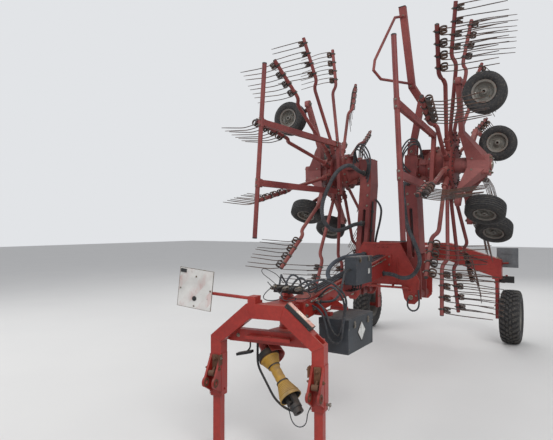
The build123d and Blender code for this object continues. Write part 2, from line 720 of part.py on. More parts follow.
# Hoop on the left boom: a folded-up beam with a bent tube in front of it
hoop_foot = (boom_end + 0.3, -45, boom_rise)
hoop_beam = [hoop_foot, (boom_end + 150, -45, boom_rise), (2181, -110, 40), (2330, -205, 126), (3150, -410, 208)]
hoop_tube = [(3060, -388, 199), (2987, -560, 235), (2426, -950, 283), (2320, -965, 286), (2255, -860, 245),
             (2360, -212, 129)]
hoop = square_bar(hoop_beam, 50, 72, Vector(0, 1, 0)) + round_bar(hoop_tube, hoop_tube_r)
write(fold(fold_left) * hoop, "left_hoop")

# Cords: straight runs joined by tangent arcs
def cord_path(points):
    """Wire along the route, each corner as round as its two runs allow."""
    corners = [Vector(*p) for p in points]
    radii = []
    for a, b, c in zip(corners, corners[1:], corners[2:]):
        half_turn = math.radians((b - a).get_angle(c - b)) / 2
        radii.append(0.45 * min((b - a).length, (c - b).length) / math.tan(half_turn))
    print("cord radii", [round(v) for v in radii])
    with BuildLine() as route:
        FilletPolyline(*corners, radius=radii)
    return route.wires()[0]


def cord(points, diameter):
    """Round tube along the route."""
    route = cord_path(points)
    start = (Vector(*points[1]) - Vector(*points[0])).normalized()
    with BuildPart() as tube:
        with BuildSketch(Plane(origin=points[0], z_dir=start)):
            Circle(diameter / 2)
        sweep(path=route)
    print("cord length", round(route.length), "volume share",
          round(tube.part.volume / (math.pi * diameter ** 2 / 4 * route.length), 4))
    return tube.part


boom_front = hub_y - boom_width / 2 - 0.3
plate_front = hub_y - frame_half_y - plate_thick / 2 - 0.3
left_hose_route = [
    (266, boom_front, 2150), (266, hitch_y + 2460, 2150), (318, hitch_y + 2380, 1900), (352, hitch_y + 2352, 1660),
    (440, hitch_y + 2360, 1470), (505, hitch_y + 2360, 1280), (415, hitch_y + 2375, 1125), (285, hitch_y + 2400, 1088),
    (175, hitch_y + 2400, 1137), (beam_width / 2 + 0.3, hitch_y + 2400, 1137)]
right_hose_route = [
    (-258, boom_front, 2290), (-258, hitch_y + 2530, 2290), (-315, hitch_y + 2395, 2378), (-400, hitch_y + 2230, 2290),
    (-450, hitch_y + 2120, 2110), (-490, hitch_y + 2030, 1920), (-480, hitch_y + 2010, 1740),
    (-430, hitch_y + 2120, 1610), (-365, hitch_y + 2300, 1610), (-290, hitch_y + 2490, 1690),
    (-290, boom_front, 1690)]
beam_hose_route = [
    (-200, plate_front, 1330), (-200, hitch_y + 2330, 1330), (-300, hitch_y + 2160, 1315), (-370, hitch_y + 1980, 1235),
    (-330, hitch_y + 1820, 1130), (-200, hitch_y + 1750, 1090), (-beam_width / 2 - 0.3, hitch_y + 1750, 1090)]
valve_hose_route = [
    (control_box_x, control_box_y - control_box_size[1] / 2 - 0.3, 1262), (control_box_x, hitch_y + 1210, 1262),
    (190, hitch_y + 1095, 1190), (215, hitch_y + 995, 1095), (190, hitch_y + 895, 1025),
    (beam_width / 2 + 0.3, hitch_y + 895, 1025)]
for route, diameter, name in ((left_hose_route, boom_hose_d, "left_boom_hose"),
                              (right_hose_route, boom_hose_d, "right_boom_hose"),
                              (beam_hose_route, boom_hose_d, "beam_hose"),
                              (valve_hose_route, valve_hose_d, "valve_hose")):
    write(cord(route, diameter), name)

# Lift cylinders: each barrel is pinned on the far side of the centre frame and passes its twin
for side, name, angle in ((1, "left", fold_left), (-1, "right", fold_right)):
    eye = Vector((fold(angle) * Location((cyl_eye[0], 0, cyl_eye[1]))).position)
    middle_y = hub_y - side * cyl_offset
    base = Vector(cyl_base[0], middle_y, cyl_base[1])
    eye = Vector(eye.X, middle_y, eye.Z)
    way = (eye - base).normalized()
    length = (eye - base).length
    print(name, "cylinder length", round(length, 1))
    with BuildPart() as barrel:
        with BuildSketch(Plane(origin=base + way * 50, z_dir=way)):
            Circle(barrel_r)
        extrude(amount=barrel_length)
        with BuildSketch(Plane(origin=base, z_dir=way)):
            Circle(27)
        extrude(amount=52)
        with Locations(Location(base, (90, 0, 0))):
            Cylinder(38, 56)
            Cylinder(15.5, 60, mode=Mode.SUBTRACT)
        with BuildSketch(Plane(origin=base + way * 64, z_dir=way)):
            Circle(cyl_rod_r + 1)
        extrude(amount=barrel_length, mode=Mode.SUBTRACT)
    with BuildPart() as rod:
        with BuildSketch(Plane(origin=base + way * 66, z_dir=way)):
            Circle(cyl_rod_r)
        extrude(amount=length - 92)
        with Locations(Location(base + way * length, (90, 0, 0))):
            Cylinder(32, rod_eye_w)
            Cylinder(15.5, 60, mode=Mode.SUBTRACT)
    for piece, label in ((barrel, "lift_barrel"), (rod, "lift_rod")):
        shape = piece.part if side > 0 else mirror(piece.part, about=Plane.YZ)
        write(shape, f"{name}_{label}")
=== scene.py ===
import bmesh
import bpy
import itertools
import json
import math
import random
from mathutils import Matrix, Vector


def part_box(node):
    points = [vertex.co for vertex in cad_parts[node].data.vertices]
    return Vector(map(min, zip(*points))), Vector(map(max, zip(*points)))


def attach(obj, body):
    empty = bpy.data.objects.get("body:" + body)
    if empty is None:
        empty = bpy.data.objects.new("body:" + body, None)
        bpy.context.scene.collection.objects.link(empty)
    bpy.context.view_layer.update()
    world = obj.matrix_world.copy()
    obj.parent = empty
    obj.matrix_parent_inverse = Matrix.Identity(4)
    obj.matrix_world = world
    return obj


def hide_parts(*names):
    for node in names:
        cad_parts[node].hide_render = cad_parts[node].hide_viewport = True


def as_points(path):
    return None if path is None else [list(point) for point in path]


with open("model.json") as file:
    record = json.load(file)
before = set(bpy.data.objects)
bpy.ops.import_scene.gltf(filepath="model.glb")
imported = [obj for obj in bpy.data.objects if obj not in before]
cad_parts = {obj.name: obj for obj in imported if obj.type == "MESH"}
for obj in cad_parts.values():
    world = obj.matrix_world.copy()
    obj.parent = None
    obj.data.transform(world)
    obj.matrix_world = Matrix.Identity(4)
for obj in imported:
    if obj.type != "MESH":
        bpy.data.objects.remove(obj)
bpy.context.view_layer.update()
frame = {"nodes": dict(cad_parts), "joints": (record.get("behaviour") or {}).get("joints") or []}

# Places read from the frame, in metres. X runs to the machine's left, Y rearward, Z up.
# The sizes below them are in millimetres, and MM or a step of one millimetre turns them into metres.
joints = {joint["name"]: joint for joint in frame["joints"]}
NODES = frame["nodes"]
SIDES = ("left", "right")
CASTERS = ("front_outer", "rear_outer", "front_inner", "rear_inner")
BOTH = (-1, 1)
MM = 0.001
LEFT, REAR, UP = (Vector(way) * MM for way in ((1, 0, 0), (0, 1, 0), (0, 0, 1)))


def pivot(name):
    """Where a joint's axis stands."""
    return Vector(joints[name]["pos_m"])


def step(way):
    """The direction as a step of one millimetre."""
    return way.normalized() * MM


def axis_of(name):
    """A joint's axis as a step of one millimetre."""
    return step(Vector(joints[name]["axis"]))


kingpin = pivot("headstock_swivel")
kingpin_y = 490
pins_x, pins_y = kingpin.x, kingpin.y - kingpin_y * MM


def spot(x, y, z):
    """Point given as the part's source gives it: from the beam's middle and the lower link pins."""
    return Vector((pins_x + x * MM, pins_y + y * MM, z * MM))


def route(*points):
    return [spot(*p) for p in points]


def grid(at, *places):
    """Points at every combination of the places along each axis, where at turns three numbers into a point."""
    return [at(*p) for p in itertools.product(*(p if isinstance(p, tuple) else (p,) for p in places))]


# Sizes that the solids have too: the headstock's turn, the rotors, the wheels and the hoses
headstock_turn = math.radians(9)
leg_x = 385
arms, arm_phase = 13, 84.0
rotor_r, arm_r = 1665, 21
arm_plane, arm_cone = -295, math.tan(math.radians(7))
crank_in, crank_out, crank_rise = 1080, 1150, 58
head_r, head_top, head_bottom = 250, -250, -340
column_r, socket_out = 85, 380
tine_pairs, tine_pitch, tine_end = 4, 60, 35
wire_r, coil_r = 4.75, 34
coil_drop = arm_r + coil_r * math.cos(math.pi / 8) + 1
tine_tip_z, tine_kick, tine_start = -868, 45, 120
cam_lift, cam_half = math.radians(65), 62.0
caster_tyre_r, caster_tyre_w, caster_rim_r = 202, 160, 112
tyre_r, tyre_w, rim_r = 378, 262, 200
boom_hose_d, valve_hose_d, cable_d = 46, 20, 7


def linear(r, g, b):
    """Colour written as it looks on a screen, 0 to 255, as the shader wants it."""
    return tuple((c / 255 / 12.92 if c <= 10 else ((c / 255 + 0.055) / 1.055) ** 2.4) for c in (r, g, b)) + (1.0,)


RUST, DUST, GRIME = (104, 58, 36), (150, 136, 118), (38, 31, 28)


class Graph:
    """One material's node tree, with short calls for its parts; colours are written as linear takes them."""

    def __init__(self, name, rough=0.5, metal=0.0):
        self.material = bpy.data.materials.new(name)
        self.material.use_nodes = True
        self.tree = self.material.node_tree
        self.shader = self.tree.nodes["Principled BSDF"]
        self.put(self.shader.inputs["Metallic"], metal)
        self.put(self.shader.inputs["Roughness"], rough)
        coordinates = self.node("TexCoord")
        self.place = coordinates.outputs["Object"]
        self.facing = coordinates.outputs["Normal"]

    def put(self, socket, value):
        if isinstance(value, bpy.types.NodeSocket):
            self.tree.links.new(value, socket)
        else:
            socket.default_value = linear(*value) if isinstance(value, tuple) else value

    def node(self, kind, inputs=None, **settings):
        made = self.tree.nodes.new("ShaderNode" + kind)
        for key, value in settings.items():
            setattr(made, key, value)
        for key, value in (inputs or {}).items():
            self.put(made.inputs[key], value)
        return made

    def noise(self, scale, detail=4.0, rough=0.55, stretch=(1, 1, 1)):
        where = self.node("Mapping", {"Vector": self.place, "Scale": Vector(stretch)})
        return self.node("TexNoise", {"Vector": where.outputs["Vector"], "Scale": scale, "Detail": detail,
                                      "Roughness": rough}).outputs[0]

    def span(self, value, low, high, to_low=0.0, to_high=1.0):
        """Maps low..high onto to_low..to_high, smoothly and clamped."""
        inputs = {0: value, 1: low, 2: high, 3: to_low, 4: to_high}
        return self.node("MapRange", inputs, interpolation_type="SMOOTHSTEP").outputs[0]

    def math(self, operation, a, b):
        return self.node("Math", {0: a, 1: b}, operation=operation).outputs[0]

    def times(self, a, b):
        return self.math("MULTIPLY", a, b)

    def mix(self, amount, a, b, blend="MIX"):
        return self.node("Mix", {0: amount, 6: a, 7: b}, data_type="RGBA", blend_type=blend).outputs[2]

    def edges(self, width=0.005):
        """1 on edges, 0 on flat and gently rounded faces."""
        normals = (self.node("Bevel", {"Radius": width}, samples=4), self.node("NewGeometry"))
        dot = self.node("VectorMath", {i: made.outputs["Normal"] for i, made in enumerate(normals)},
                        operation="DOT_PRODUCT")
        return self.span(dot.outputs["Value"], 0.99, 0.86)

    def axes(self, vector):
        return self.node("SeparateXYZ", {0: vector}).outputs

    def upward(self):
        """1 where the surface faces up."""
        return self.span(self.axes(self.facing)["Z"], 0.2, 0.95)

    def finish(self, colour, rough=None, height=None, strength=0.2, distance=0.001):
        self.put(self.shader.inputs["Base Color"], colour)
        if rough is not None:
            self.put(self.shader.inputs["Roughness"], rough)
        if height is not None:
            bump = self.node("Bump", {"Strength": strength, "Distance": distance, "Height": height})
            self.put(self.shader.inputs["Normal"], bump.outputs["Normal"])
        return self.material


def weathered(name, colour, faded, rough=0.5, metal=0.0, dust=0.4, chips=0.5, chip=RUST, streaks=0.3):
    """A painted or bare surface that has stood outside: fading, mottling, streaks, dust on top, chipped edges."""
    g = Graph(name, metal=metal)
    cloud = g.noise(2.3, 5)
    grain = g.noise(38, 6, 0.65)
    look = g.mix(g.span(cloud, 0.34, 0.68), colour, faded)
    mottle = g.span(grain, 0.25, 0.75, 0.8, 1.12)
    look = g.mix(1.0, look, g.node("CombineColor", {i: mottle for i in range(3)}).outputs[0], "MULTIPLY")
    run = g.span(g.noise(9, 5, 0.6, (1, 1, 0.12)), 0.52, 0.78)
    look = g.mix(g.times(run, streaks), look, GRIME)
    settled = g.times(g.upward(), g.span(g.noise(7, 5), 0.3, 0.75, 0.15, 1.0))
    look = g.mix(g.times(settled, dust), look, DUST)
    spots = g.span(g.noise(21, 8, 0.72), 0.74 - 0.09 * chips, 0.8 - 0.09 * chips)
    worn = g.times(g.edges(), g.span(grain, 0.42, 0.62, 0.0, chips))
    bare = g.math("MAXIMUM", g.times(spots, min(1.0, 0.4 + chips)), worn)
    look = g.mix(bare, look, chip)
    uneven = g.span(grain, 0.2, 0.8, rough - 0.09, rough + 0.1)
    uneven = g.math("ADD", uneven, g.times(g.math("MAXIMUM", settled, bare), 0.22))
    return g.finish(look, uneven, g.math("SUBTRACT", grain, g.times(bare, 0.35)))


def rubber(name, colour, worn, dust=0.5):
    """Tyre or hose rubber: grey with ground-in dust."""
    g = Graph(name)
    grain = g.noise(55, 7, 0.7)
    cloud = g.noise(6, 5)
    look = g.mix(g.span(cloud, 0.35, 0.7), colour, worn)
    look = g.mix(g.times(g.span(grain, 0.45, 0.75), dust), look, DUST)
    look = g.mix(g.times(g.edges(0.004), 0.35), look, worn)
    return g.finish(look, g.span(cloud, 0.3, 0.7, 0.68, 0.86), grain, 0.35, 0.0012)


def plated(name, colour, tint, rough=0.28):
    """Bright or zinc-plated steel with stains."""
    g = Graph(name, metal=1.0)
    stain = g.noise(30, 6, 0.65)
    look = g.mix(g.span(stain, 0.42, 0.72), colour, tint)
    return g.finish(look, g.span(stain, 0.3, 0.75, rough, rough + 0.3), stain, 0.08)


def bare_steel(name, colour, rusty, rough=0.5):
    """Spring wire and plain steel, browned by weather."""
    g = Graph(name, metal=0.55)
    cloud = g.noise(5, 4)
    grain = g.noise(90, 7, 0.7)
    look = g.mix(g.span(cloud, 0.4, 0.66), colour, rusty)
    look = g.mix(g.span(grain, 0.5, 0.72), look, RUST)
    return g.finish(look, g.span(grain, 0.25, 0.75, rough - 0.08, rough + 0.22), grain, 0.3)


def board_face(name):
    """Weathered white sheet with what is left of its red stripes, run and stained."""
    g = Graph(name)
    place = g.axes(g.place)
    band = g.math("PINGPONG", g.math("SUBTRACT", place["Z"], place["X"]), 0.09)
    stripe = g.span(band, 0.042, 0.048)
    left = g.span(g.noise(16, 6, 0.7, (1, 1, 0.4)), 0.45, 0.68, 0.04, 0.38)
    white = g.mix(g.span(g.noise(5, 5), 0.35, 0.7), (214, 212, 208), (188, 186, 182))
    look = g.mix(g.times(stripe, left), white, (176, 92, 84))
    dirt = g.span(g.noise(24, 8, 0.7), 0.6, 0.76)
    look = g.mix(g.times(dirt, 0.55), look, (92, 84, 76))
    return g.finish(look, g.span(dirt, 0, 1, 0.42, 0.8), dirt, 0.1)


def reflector_face(name):
    """Pale reflective sheet with faint red fields."""
    g = Graph(name)
    field = g.span(g.math("PINGPONG", g.axes(g.place)["X"], 0.07), 0.03, 0.034)
    cells = g.node("TexVoronoi", {"Vector": g.place, "Scale": 320})
    look = g.mix(field, (222, 196, 178), (205, 150, 134))
    worn = g.span(g.noise(30, 7, 0.7), 0.55, 0.7)
    look = g.mix(g.times(worn, 0.6), look, (150, 96, 84))
    return g.finish(look, g.span(worn, 0, 1, 0.3, 0.7), cells.outputs["Distance"], 0.15)


def lamp_face(name):
    """Red lamp lens with fine ribs."""
    g = Graph(name, rough=0.22)
    ribs = g.node("TexWave", {"Vector": g.place, "Scale": 60})
    look = g.mix(g.span(g.noise(20, 5), 0.4, 0.7), (150, 26, 20), (112, 22, 20))
    return g.finish(look, None, ribs.outputs["Fac"], 0.3)


HEAD_RED = weathered("headstock_red", (143, 34, 26), (156, 46, 36), 0.4, dust=0.22, chips=0.45)
FRAME_RED = weathered("frame_red", (130, 33, 29), (148, 48, 40), 0.46, dust=0.3)
ROTOR_RED = weathered("rotor_red", (104, 38, 37), (132, 62, 57), 0.56, dust=0.3, chips=0.6)
CHASSIS_RED = weathered("chassis_red", (122, 60, 58), (144, 84, 80), 0.6, dust=0.25)
STEEL = bare_steel("spring_steel", (74, 68, 66), (92, 70, 58))
DARK = weathered("dark_fittings", (40, 39, 40), (62, 58, 56), 0.5, 0.2, dust=0.3, chips=0.35, streaks=0.1)
BLACK = weathered("black_plastic", (26, 27, 29), (46, 46, 47), 0.55, dust=0.35, chips=0.1, chip=(90, 88, 86))
BROWN = weathered("rusted_steel", (98, 66, 50), (122, 84, 60), 0.75, 0.3, dust=0.2, chips=0.9, chip=(70, 46, 36))
YELLOW = weathered("shaft_guard_yellow", (180, 138, 46), (160, 131, 72), dust=0.45, chips=0.7, chip=(92, 74, 46),
                   streaks=0.75)
BOX_GREY = weathered("box_grey", (44, 48, 53), (58, 63, 69), dust=0.3, chips=0.35, chip=(128, 128, 126), streaks=0.2)
RIM = weathered("rim_beige", (94, 93, 90), (116, 113, 106), 0.5, 0.1, dust=0.35, chips=0.7, streaks=0.5)
ZINC = plated("zinc", (150, 146, 138), (118, 96, 66), 0.35)
CHROME = plated("chrome_rod", (190, 192, 194), (150, 148, 144), 0.12)
TYRE = rubber("tyre_rubber", (25, 26, 29), (43, 43, 44), 0.22)
TREAD = rubber("tread_rubber", (36, 37, 40), (62, 61, 59), 0.4)
HOSE = rubber("hose_black", (34, 36, 40), (62, 66, 72), 0.25)
SLEEVE = rubber("hose_sleeve", (48, 54, 62), (72, 80, 90), 0.2)
BOARD = board_face("board_face")
REFLECTOR = reflector_face("reflector_face")
PLATE = weathered("blank_plate", (206, 206, 202), (184, 184, 180), 0.4, dust=0.3, chips=0.3, streaks=0.4)
LAMP = lamp_face("lamp_red")
BACKING = weathered("board_backing", (98, 101, 104), (118, 120, 122), 0.5, 0.3, dust=0.3, chips=0.3)

# Which finish each node of the frame gets: the first word found in its name decides
FINISHES = (
    ("drive_shaft_guard", YELLOW), ("lift_rod", CHROME), ("lift_barrel", FRAME_RED), ("gear_housing", ROTOR_RED),
    ("rotor_chassis", CHASSIS_RED), ("input_gearbox", HEAD_RED), ("rotor", ROTOR_RED), ("tines", STEEL),
    ("fork", CHASSIS_RED), ("wheel", TYRE), ("tyre", TYRE), ("rim", RIM), ("hose", HOSE), ("guard", ROTOR_RED),
    ("yoke", DARK), ("headstock", HEAD_RED), ("stand", HEAD_RED), ("tool_box", BOX_GREY), ("control_box", BOX_GREY),
    ("marker_board", BOARD), ("hoop", ROTOR_RED), ("boom", ROTOR_RED),
)
for node, obj in NODES.items():
    obj.data.materials.clear()
    obj.data.materials.append(next((made for word, made in FINISHES if word in node), FRAME_RED))


def square_to(way):
    """Two steps across a direction, square to it and to each other."""
    way = way.normalized()
    first = step(way.cross(Vector((0, 0, 1)) if abs(way.z) < 0.9 else Vector((1, 0, 0))))
    return first, way.cross(first)


def circle(centre, first, second, radius, count, shift=0.0):
    """Points evenly round a centre in the plane of two steps."""
    angles = (math.tau * (k + shift) / count for k in range(count))
    return [centre + (first * math.cos(a) + second * math.sin(a)) * radius for a in angles]


def rounded(line, reach, steps=4):
    """The line with each corner rounded off over its reach."""
    out = [line[0]]
    for a, b, c in zip(line, line[1:], line[2:]):
        start = b + (a - b).normalized() * min(reach * MM, (a - b).length / 2)
        end = b + (c - b).normalized() * min(reach * MM, (c - b).length / 2)
        for k in range(steps + 1):
            t = k / steps
            out.append(start * (1 - t) ** 2 + b * 2 * t * (1 - t) + end * t * t)
    return out + [line[-1]]


def mirrored(profile):
    """The profile read backwards on the other side of its middle."""
    return [(-a, r) for a, r in reversed(profile)]


class Shape:
    """Faces gathered for one piece. part is their material, left out where it's the piece's first one. turn, ring,
    block and bolt take one place or a list of them."""

    def __init__(self):
        self.points, self.faces, self.parts = [], [], []

    def rings(self, rings, part=None, closed=False):
        """Skin over rings that have as many points each; its ends are capped unless it closes on itself."""
        n, count, first = len(rings[0]), len(rings), len(self.points)
        faces = []
        for i in range(count if closed else count - 1):
            j = (i + 1) % count
            faces += [[i * n + k, i * n + (k + 1) % n, j * n + (k + 1) % n, j * n + k] for k in range(n)]
        if not closed:
            faces += [list(range(n))[::-1], [(count - 1) * n + k for k in range(n)]]
        self.points += [tuple(p) for ring in rings for p in ring]
        self.faces += [[first + i for i in face] for face in faces]
        self.parts += [part] * len(faces)

    def tube(self, line, radius, sides=12, part=None):
        """Round tube along points; radius is one number or one for each point."""
        radii = radius if isinstance(radius, list) else [radius] * len(line)
        ways = [(b - a).normalized() for a, b in zip(line, line[1:])]
        first, _ = square_to(ways[0])
        rings = []
        for i, (p, r) in enumerate(zip(line, radii)):
            way = (ways[max(i - 1, 0)] + ways[min(i, len(ways) - 1)]).normalized()
            first = step(first - way * first.dot(way))
            rings.append(circle(p, first, way.cross(first), r, sides))
        self.rings(rings, part)

    def rod(self, a, b, radius, sides=12, part=None):
        self.tube([a, b], radius, sides, part)

    def turn(self, centre, axis, profile, segments=32, part=None, hollow=False):
        """Profile of (along, radius) turned about the axis."""
        across = square_to(axis)
        for at in centre if isinstance(centre, list) else [centre]:
            self.rings([circle(at + step(axis) * along, *across, r, segments) for along, r in profile], part, hollow)

    def ring(self, centre, axis, profile, segments=32, part=None):
        """The same with a closed loop as profile."""
        self.turn(centre, axis, profile, segments, part, True)

    def block(self, centre, size, x_way=LEFT, y_way=REAR, part=None):
        ways = (x_way, y_way, x_way.cross(y_way))
        x, y, z = (step(way) * s / 2 for way, s in zip(ways, size))
        corners = ((-1, -1), (1, -1), (1, 1), (-1, 1))
        for at in centre if isinstance(centre, list) else [centre]:
            self.rings([[at + x * i + y * j + z * k for i, j in corners] for k in BOTH], part)

    def bolt(self, centre, out, size, part=None):
        """Hexagon head on a washer; size is its width across."""
        washer = [(-1, size * 0.8), (size * 0.12, size * 0.8)]
        head = [(size * 0.12, size * 0.56), (size * 0.6, size * 0.56), (size * 0.68, size * 0.44)]
        end = [(size * 0.68, size * 0.3), (size * 0.95, size * 0.28)]
        for at in centre if isinstance(centre, list) else [centre]:
            for profile, sides in ((washer, 16), (head, 6), (end, 10)):
                self.turn(at, out, profile, sides, part)

    def weld(self, a, b, radius=4, part=None):
        """Bead of a weld: a thin line of ripples."""
        ripple = 6 * MM
        steps = max(3, int((b - a).length / ripple))
        line = [a.lerp(b, k / steps) for k in range(steps + 1)]
        self.tube(line, [radius * (1.0 if k % 2 else 0.72) for k in range(steps + 1)], 6, part)


# Camera at the photograph's place; the cords' routes were measured against its view
scene = bpy.context.scene
scene.view_settings.view_transform = "Standard"


def show(name, data):
    """New object of a mesh, curve, lamp or camera, in the scene."""
    obj = bpy.data.objects.new(name, data)
    scene.collection.objects.link(obj)
    return obj


def aim(obj, way):
    """Turns a lamp or the camera to look along a direction."""
    obj.rotation_euler = way.to_track_quat("-Z", "Y").to_euler()


photo_width, focal_px, eye_height = 553, 469.3, 1637
camera_yaw, camera_pitch = math.radians(32.673), math.radians(0.97)
camera = show("camera", bpy.data.cameras.new("camera"))
camera.location = spot(1882, -2598, eye_height)
aim(camera, Vector((-math.sin(camera_yaw) * math.cos(camera_pitch), math.cos(camera_yaw) * math.cos(camera_pitch),
                    math.sin(camera_pitch))))
camera.data.sensor_fit = "HORIZONTAL"
camera.data.sensor_width = 36
camera.data.lens = focal_px / photo_width * camera.data.sensor_width
scene.camera = camera


def piece(name, shape, materials, body="main_frame", nodes=(), crease=32, bevel=0.0):
    """One object of the gathered faces, which rides on a body and may stand for nodes of the frame."""
    mesh = bpy.data.meshes.new(name)
    mesh.from_pydata(shape.points, [], shape.faces)
    for made in materials:
        mesh.materials.append(made)
    slots = {None: 0, **{made: i for i, made in enumerate(materials)}}
    mesh.polygons.foreach_set("material_index", [slots[part] for part in shape.parts])
    work = bmesh.new()
    work.from_mesh(mesh)
    bmesh.ops.recalc_face_normals(work, faces=work.faces)
    work.to_mesh(mesh)
    work.free()
    mesh.polygons.foreach_set("use_smooth", [True] * len(mesh.polygons))
    mesh.set_sharp_from_angle(angle=math.radians(crease))
    obj = show(name, mesh)
    if bevel:
        made = obj.modifiers.new("edges", "BEVEL")
        made.width = bevel * MM
        made.segments = 2
        made.angle_limit = math.radians(40)
    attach(obj, body)
    if nodes:
        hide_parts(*nodes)
    return obj


def floor():
    half = 40
    mesh = bpy.data.meshes.new("floor")
    mesh.from_pydata([(-half, -half, 0), (half, -half, 0), (half, half, 0), (-half, half, 0)], [], [(0, 1, 2, 3)])
    g = Graph("floor_pale", rough=0.9)
    mesh.materials.append(g.finish(g.mix(g.noise(0.8, 3), (214, 213, 210), (208, 207, 205))))
    show("floor", mesh)


def studio():
    """Plain soft light: an even sky that shows nearly white, and three large lamps."""
    world = scene.world = bpy.data.worlds.new("studio")
    world.use_nodes = True
    tree = world.node_tree
    light = tree.nodes["Background"]
    light.inputs["Color"].default_value = (0.93, 0.95, 1.0, 1)
    light.inputs["Strength"].default_value = 0.62
    shown = tree.nodes.new("ShaderNodeBackground")
    shown.inputs["Color"].default_value = linear(226, 228, 231)
    path = tree.nodes.new("ShaderNodeLightPath")
    mixer = tree.nodes.new("ShaderNodeMixShader")
    for out, slot in zip((path.outputs["Is Camera Ray"], light.outputs[0], shown.outputs[0]), mixer.inputs):
        tree.links.new(out, slot)
    tree.links.new(mixer.outputs[0], tree.nodes["World Output"].inputs["Surface"])
    middle = Vector((0, 0, 1.8))
    for name, where, power in (("key", (6, -7, 8), 620), ("fill", (-7, -4, 6), 260), ("back", (-2, 8, 7), 300)):
        lamp = show(name, bpy.data.lights.new(name, "AREA"))
        lamp.data.size = 6
        lamp.data.energy = power
        lamp.location = where
        aim(lamp, middle - Vector(where))


floor()
studio()


def cord_line(points, name):
    """The route's points as a NURBS curve, and the points that its line runs through."""
    data = bpy.data.curves.new(name, "CURVE")
    data.dimensions = "3D"
    data.resolution_u = 24
    spline = data.splines.new("NURBS")
    spline.points.add(len(points) - 1)
    for slot, p in zip(spline.points, points):
        slot.co = (*p, 1)
    spline.order_u = 3
    spline.use_endpoint_u = True
    obj = show(name, data)
    mesh = bpy.data.meshes.new_from_object(obj)
    line = [v.co.copy() for v in mesh.vertices]
    bpy.data.meshes.remove(mesh)
    return obj, line


def length_of(line):
    return sum((b - a).length for a, b in zip(line, line[1:]))


def hose(name, points, diameter, body="main_frame", material=HOSE, nodes=(),
         ends=()):
    """Smooth hose along the route, round in section."""
    obj, line = cord_line(points, name)
    obj.data.bevel_depth = diameter * MM / 2
    obj.data.bevel_resolution = 3
    obj.data.use_fill_caps = True
    obj.data.materials.append(material)
    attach(obj, body)
    if nodes:
        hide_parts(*nodes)
    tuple(points[0])
    length_of(line)


def ribbed_hose(name, points, body, node):
    """Corrugated hose: a tube whose radius rises and falls along the route's curve."""
    guide, line = cord_line(points, name + "_guide")
    bpy.data.objects.remove(guide)
    rib, low_share = 0.02, 0.84
    whole = length_of(line)
    steps = int(whole / rib * 4)
    along, k, passed = [], 0, 0.0
    for i in range(steps + 1):
        target = whole * i / steps
        while k < len(line) - 2 and passed + (line[k + 1] - line[k]).length < target:
            passed += (line[k + 1] - line[k]).length
            k += 1
        run = line[k + 1] - line[k]
        along.append(line[k] + run * min(1.0, (target - passed) / run.length))
    shape = Shape()
    high, low = boom_hose_d / 2, boom_hose_d / 2 * low_share
    shape.tube(along, [(high, high, low, low)[i % 4] for i in range(steps + 1)], 16)
    obj = piece(name, shape, [HOSE], body, (node,), crease=60)
    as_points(line)


# Hoses between frame and booms; their points are the routes that the part's source sweeps
tower_y, tower_half = 2815, 285
boom_front, plate_front = tower_y - 115.3, tower_y - tower_half - 0.3
ribbed_hose("left_boom_corrugated_hose", route(
    (266, boom_front, 2150), (266, 2460, 2150), (318, 2380, 1900), (352, 2352, 1660), (440, 2360, 1470),
    (505, 2360, 1280), (415, 2375, 1125), (285, 2400, 1088), (175, 2400, 1137), (75.3, 2400, 1137)),
    "main_frame", "left_boom_hose")
ribbed_hose("right_boom_corrugated_hose", route(
    (-258, boom_front, 2290), (-258, 2530, 2290), (-315, 2395, 2378), (-400, 2230, 2290), (-450, 2120, 2110),
    (-490, 2030, 1920), (-480, 2010, 1740), (-430, 2120, 1610), (-365, 2300, 1610), (-290, 2490, 1690),
    (-290, boom_front, 1690)), "right_boom", "right_boom_hose")
hose("beam_smooth_hose", route(
    (-200, plate_front, 1330), (-200, 2330, 1330), (-300, 2160, 1315), (-370, 1980, 1235), (-330, 1820, 1130),
    (-200, 1750, 1090), (-75.3, 1750, 1090)), boom_hose_d, material=SLEEVE, nodes=("beam_hose",))
hose("valve_smooth_hose", route(
    (158, 1324.7, 1262), (158, 1210, 1262), (190, 1095, 1190), (215, 995, 1095), (190, 895, 1025),
    (75.3, 895, 1025)), valve_hose_d, nodes=("valve_hose",))


class Boom:
    """One boom as it stands folded: out steps along it, REAR to the machine's rear, up from its upper side."""

    def __init__(self, side):
        self.side, self.body, self.rotor_body = side, f"{side}_boom", f"{side}_rotor"
        self.hinge = pivot(f"{side}_boom_lower")
        axis = Vector(joints[f"{side}_rotor_spin"]["axis"])
        hand = 1 if side == "left" else -1
        up = axis * math.copysign(1, axis.z)
        out = Vector((up.z, 0, -up.x)) * hand
        self.ways = out, Vector((0, 1, 0)), up
        self.out, self.up = out * MM, up * MM
        self.reach = (pivot(f"{side}_rotor_spin") - self.hinge).dot(out) / MM

    def at(self, x, y, z):
        out, rear, up = self.ways
        return self.hinge + out * (x * MM) + rear * (y * MM) + up * (z * MM)

    def spoke(self, angle, r, z, side=0):
        """Point at radius r and height z from the rotor's axis; the angle runs from the rear outwards."""
        c, s = math.cos(math.radians(angle)), math.sin(math.radians(angle))
        return self.at(self.reach + r * s + side * c, r * c - side * s, z)

    def outward(self, angle):
        return self.spoke(angle, 1000, 0) - self.spoke(angle, 0, 0)


def arm_angle(k):
    return arm_phase + 360 / arms * k


def arm_height(r):
    """Height of a tine section's axis at radius r."""
    return arm_plane + crank_rise - (r - socket_out) * arm_cone


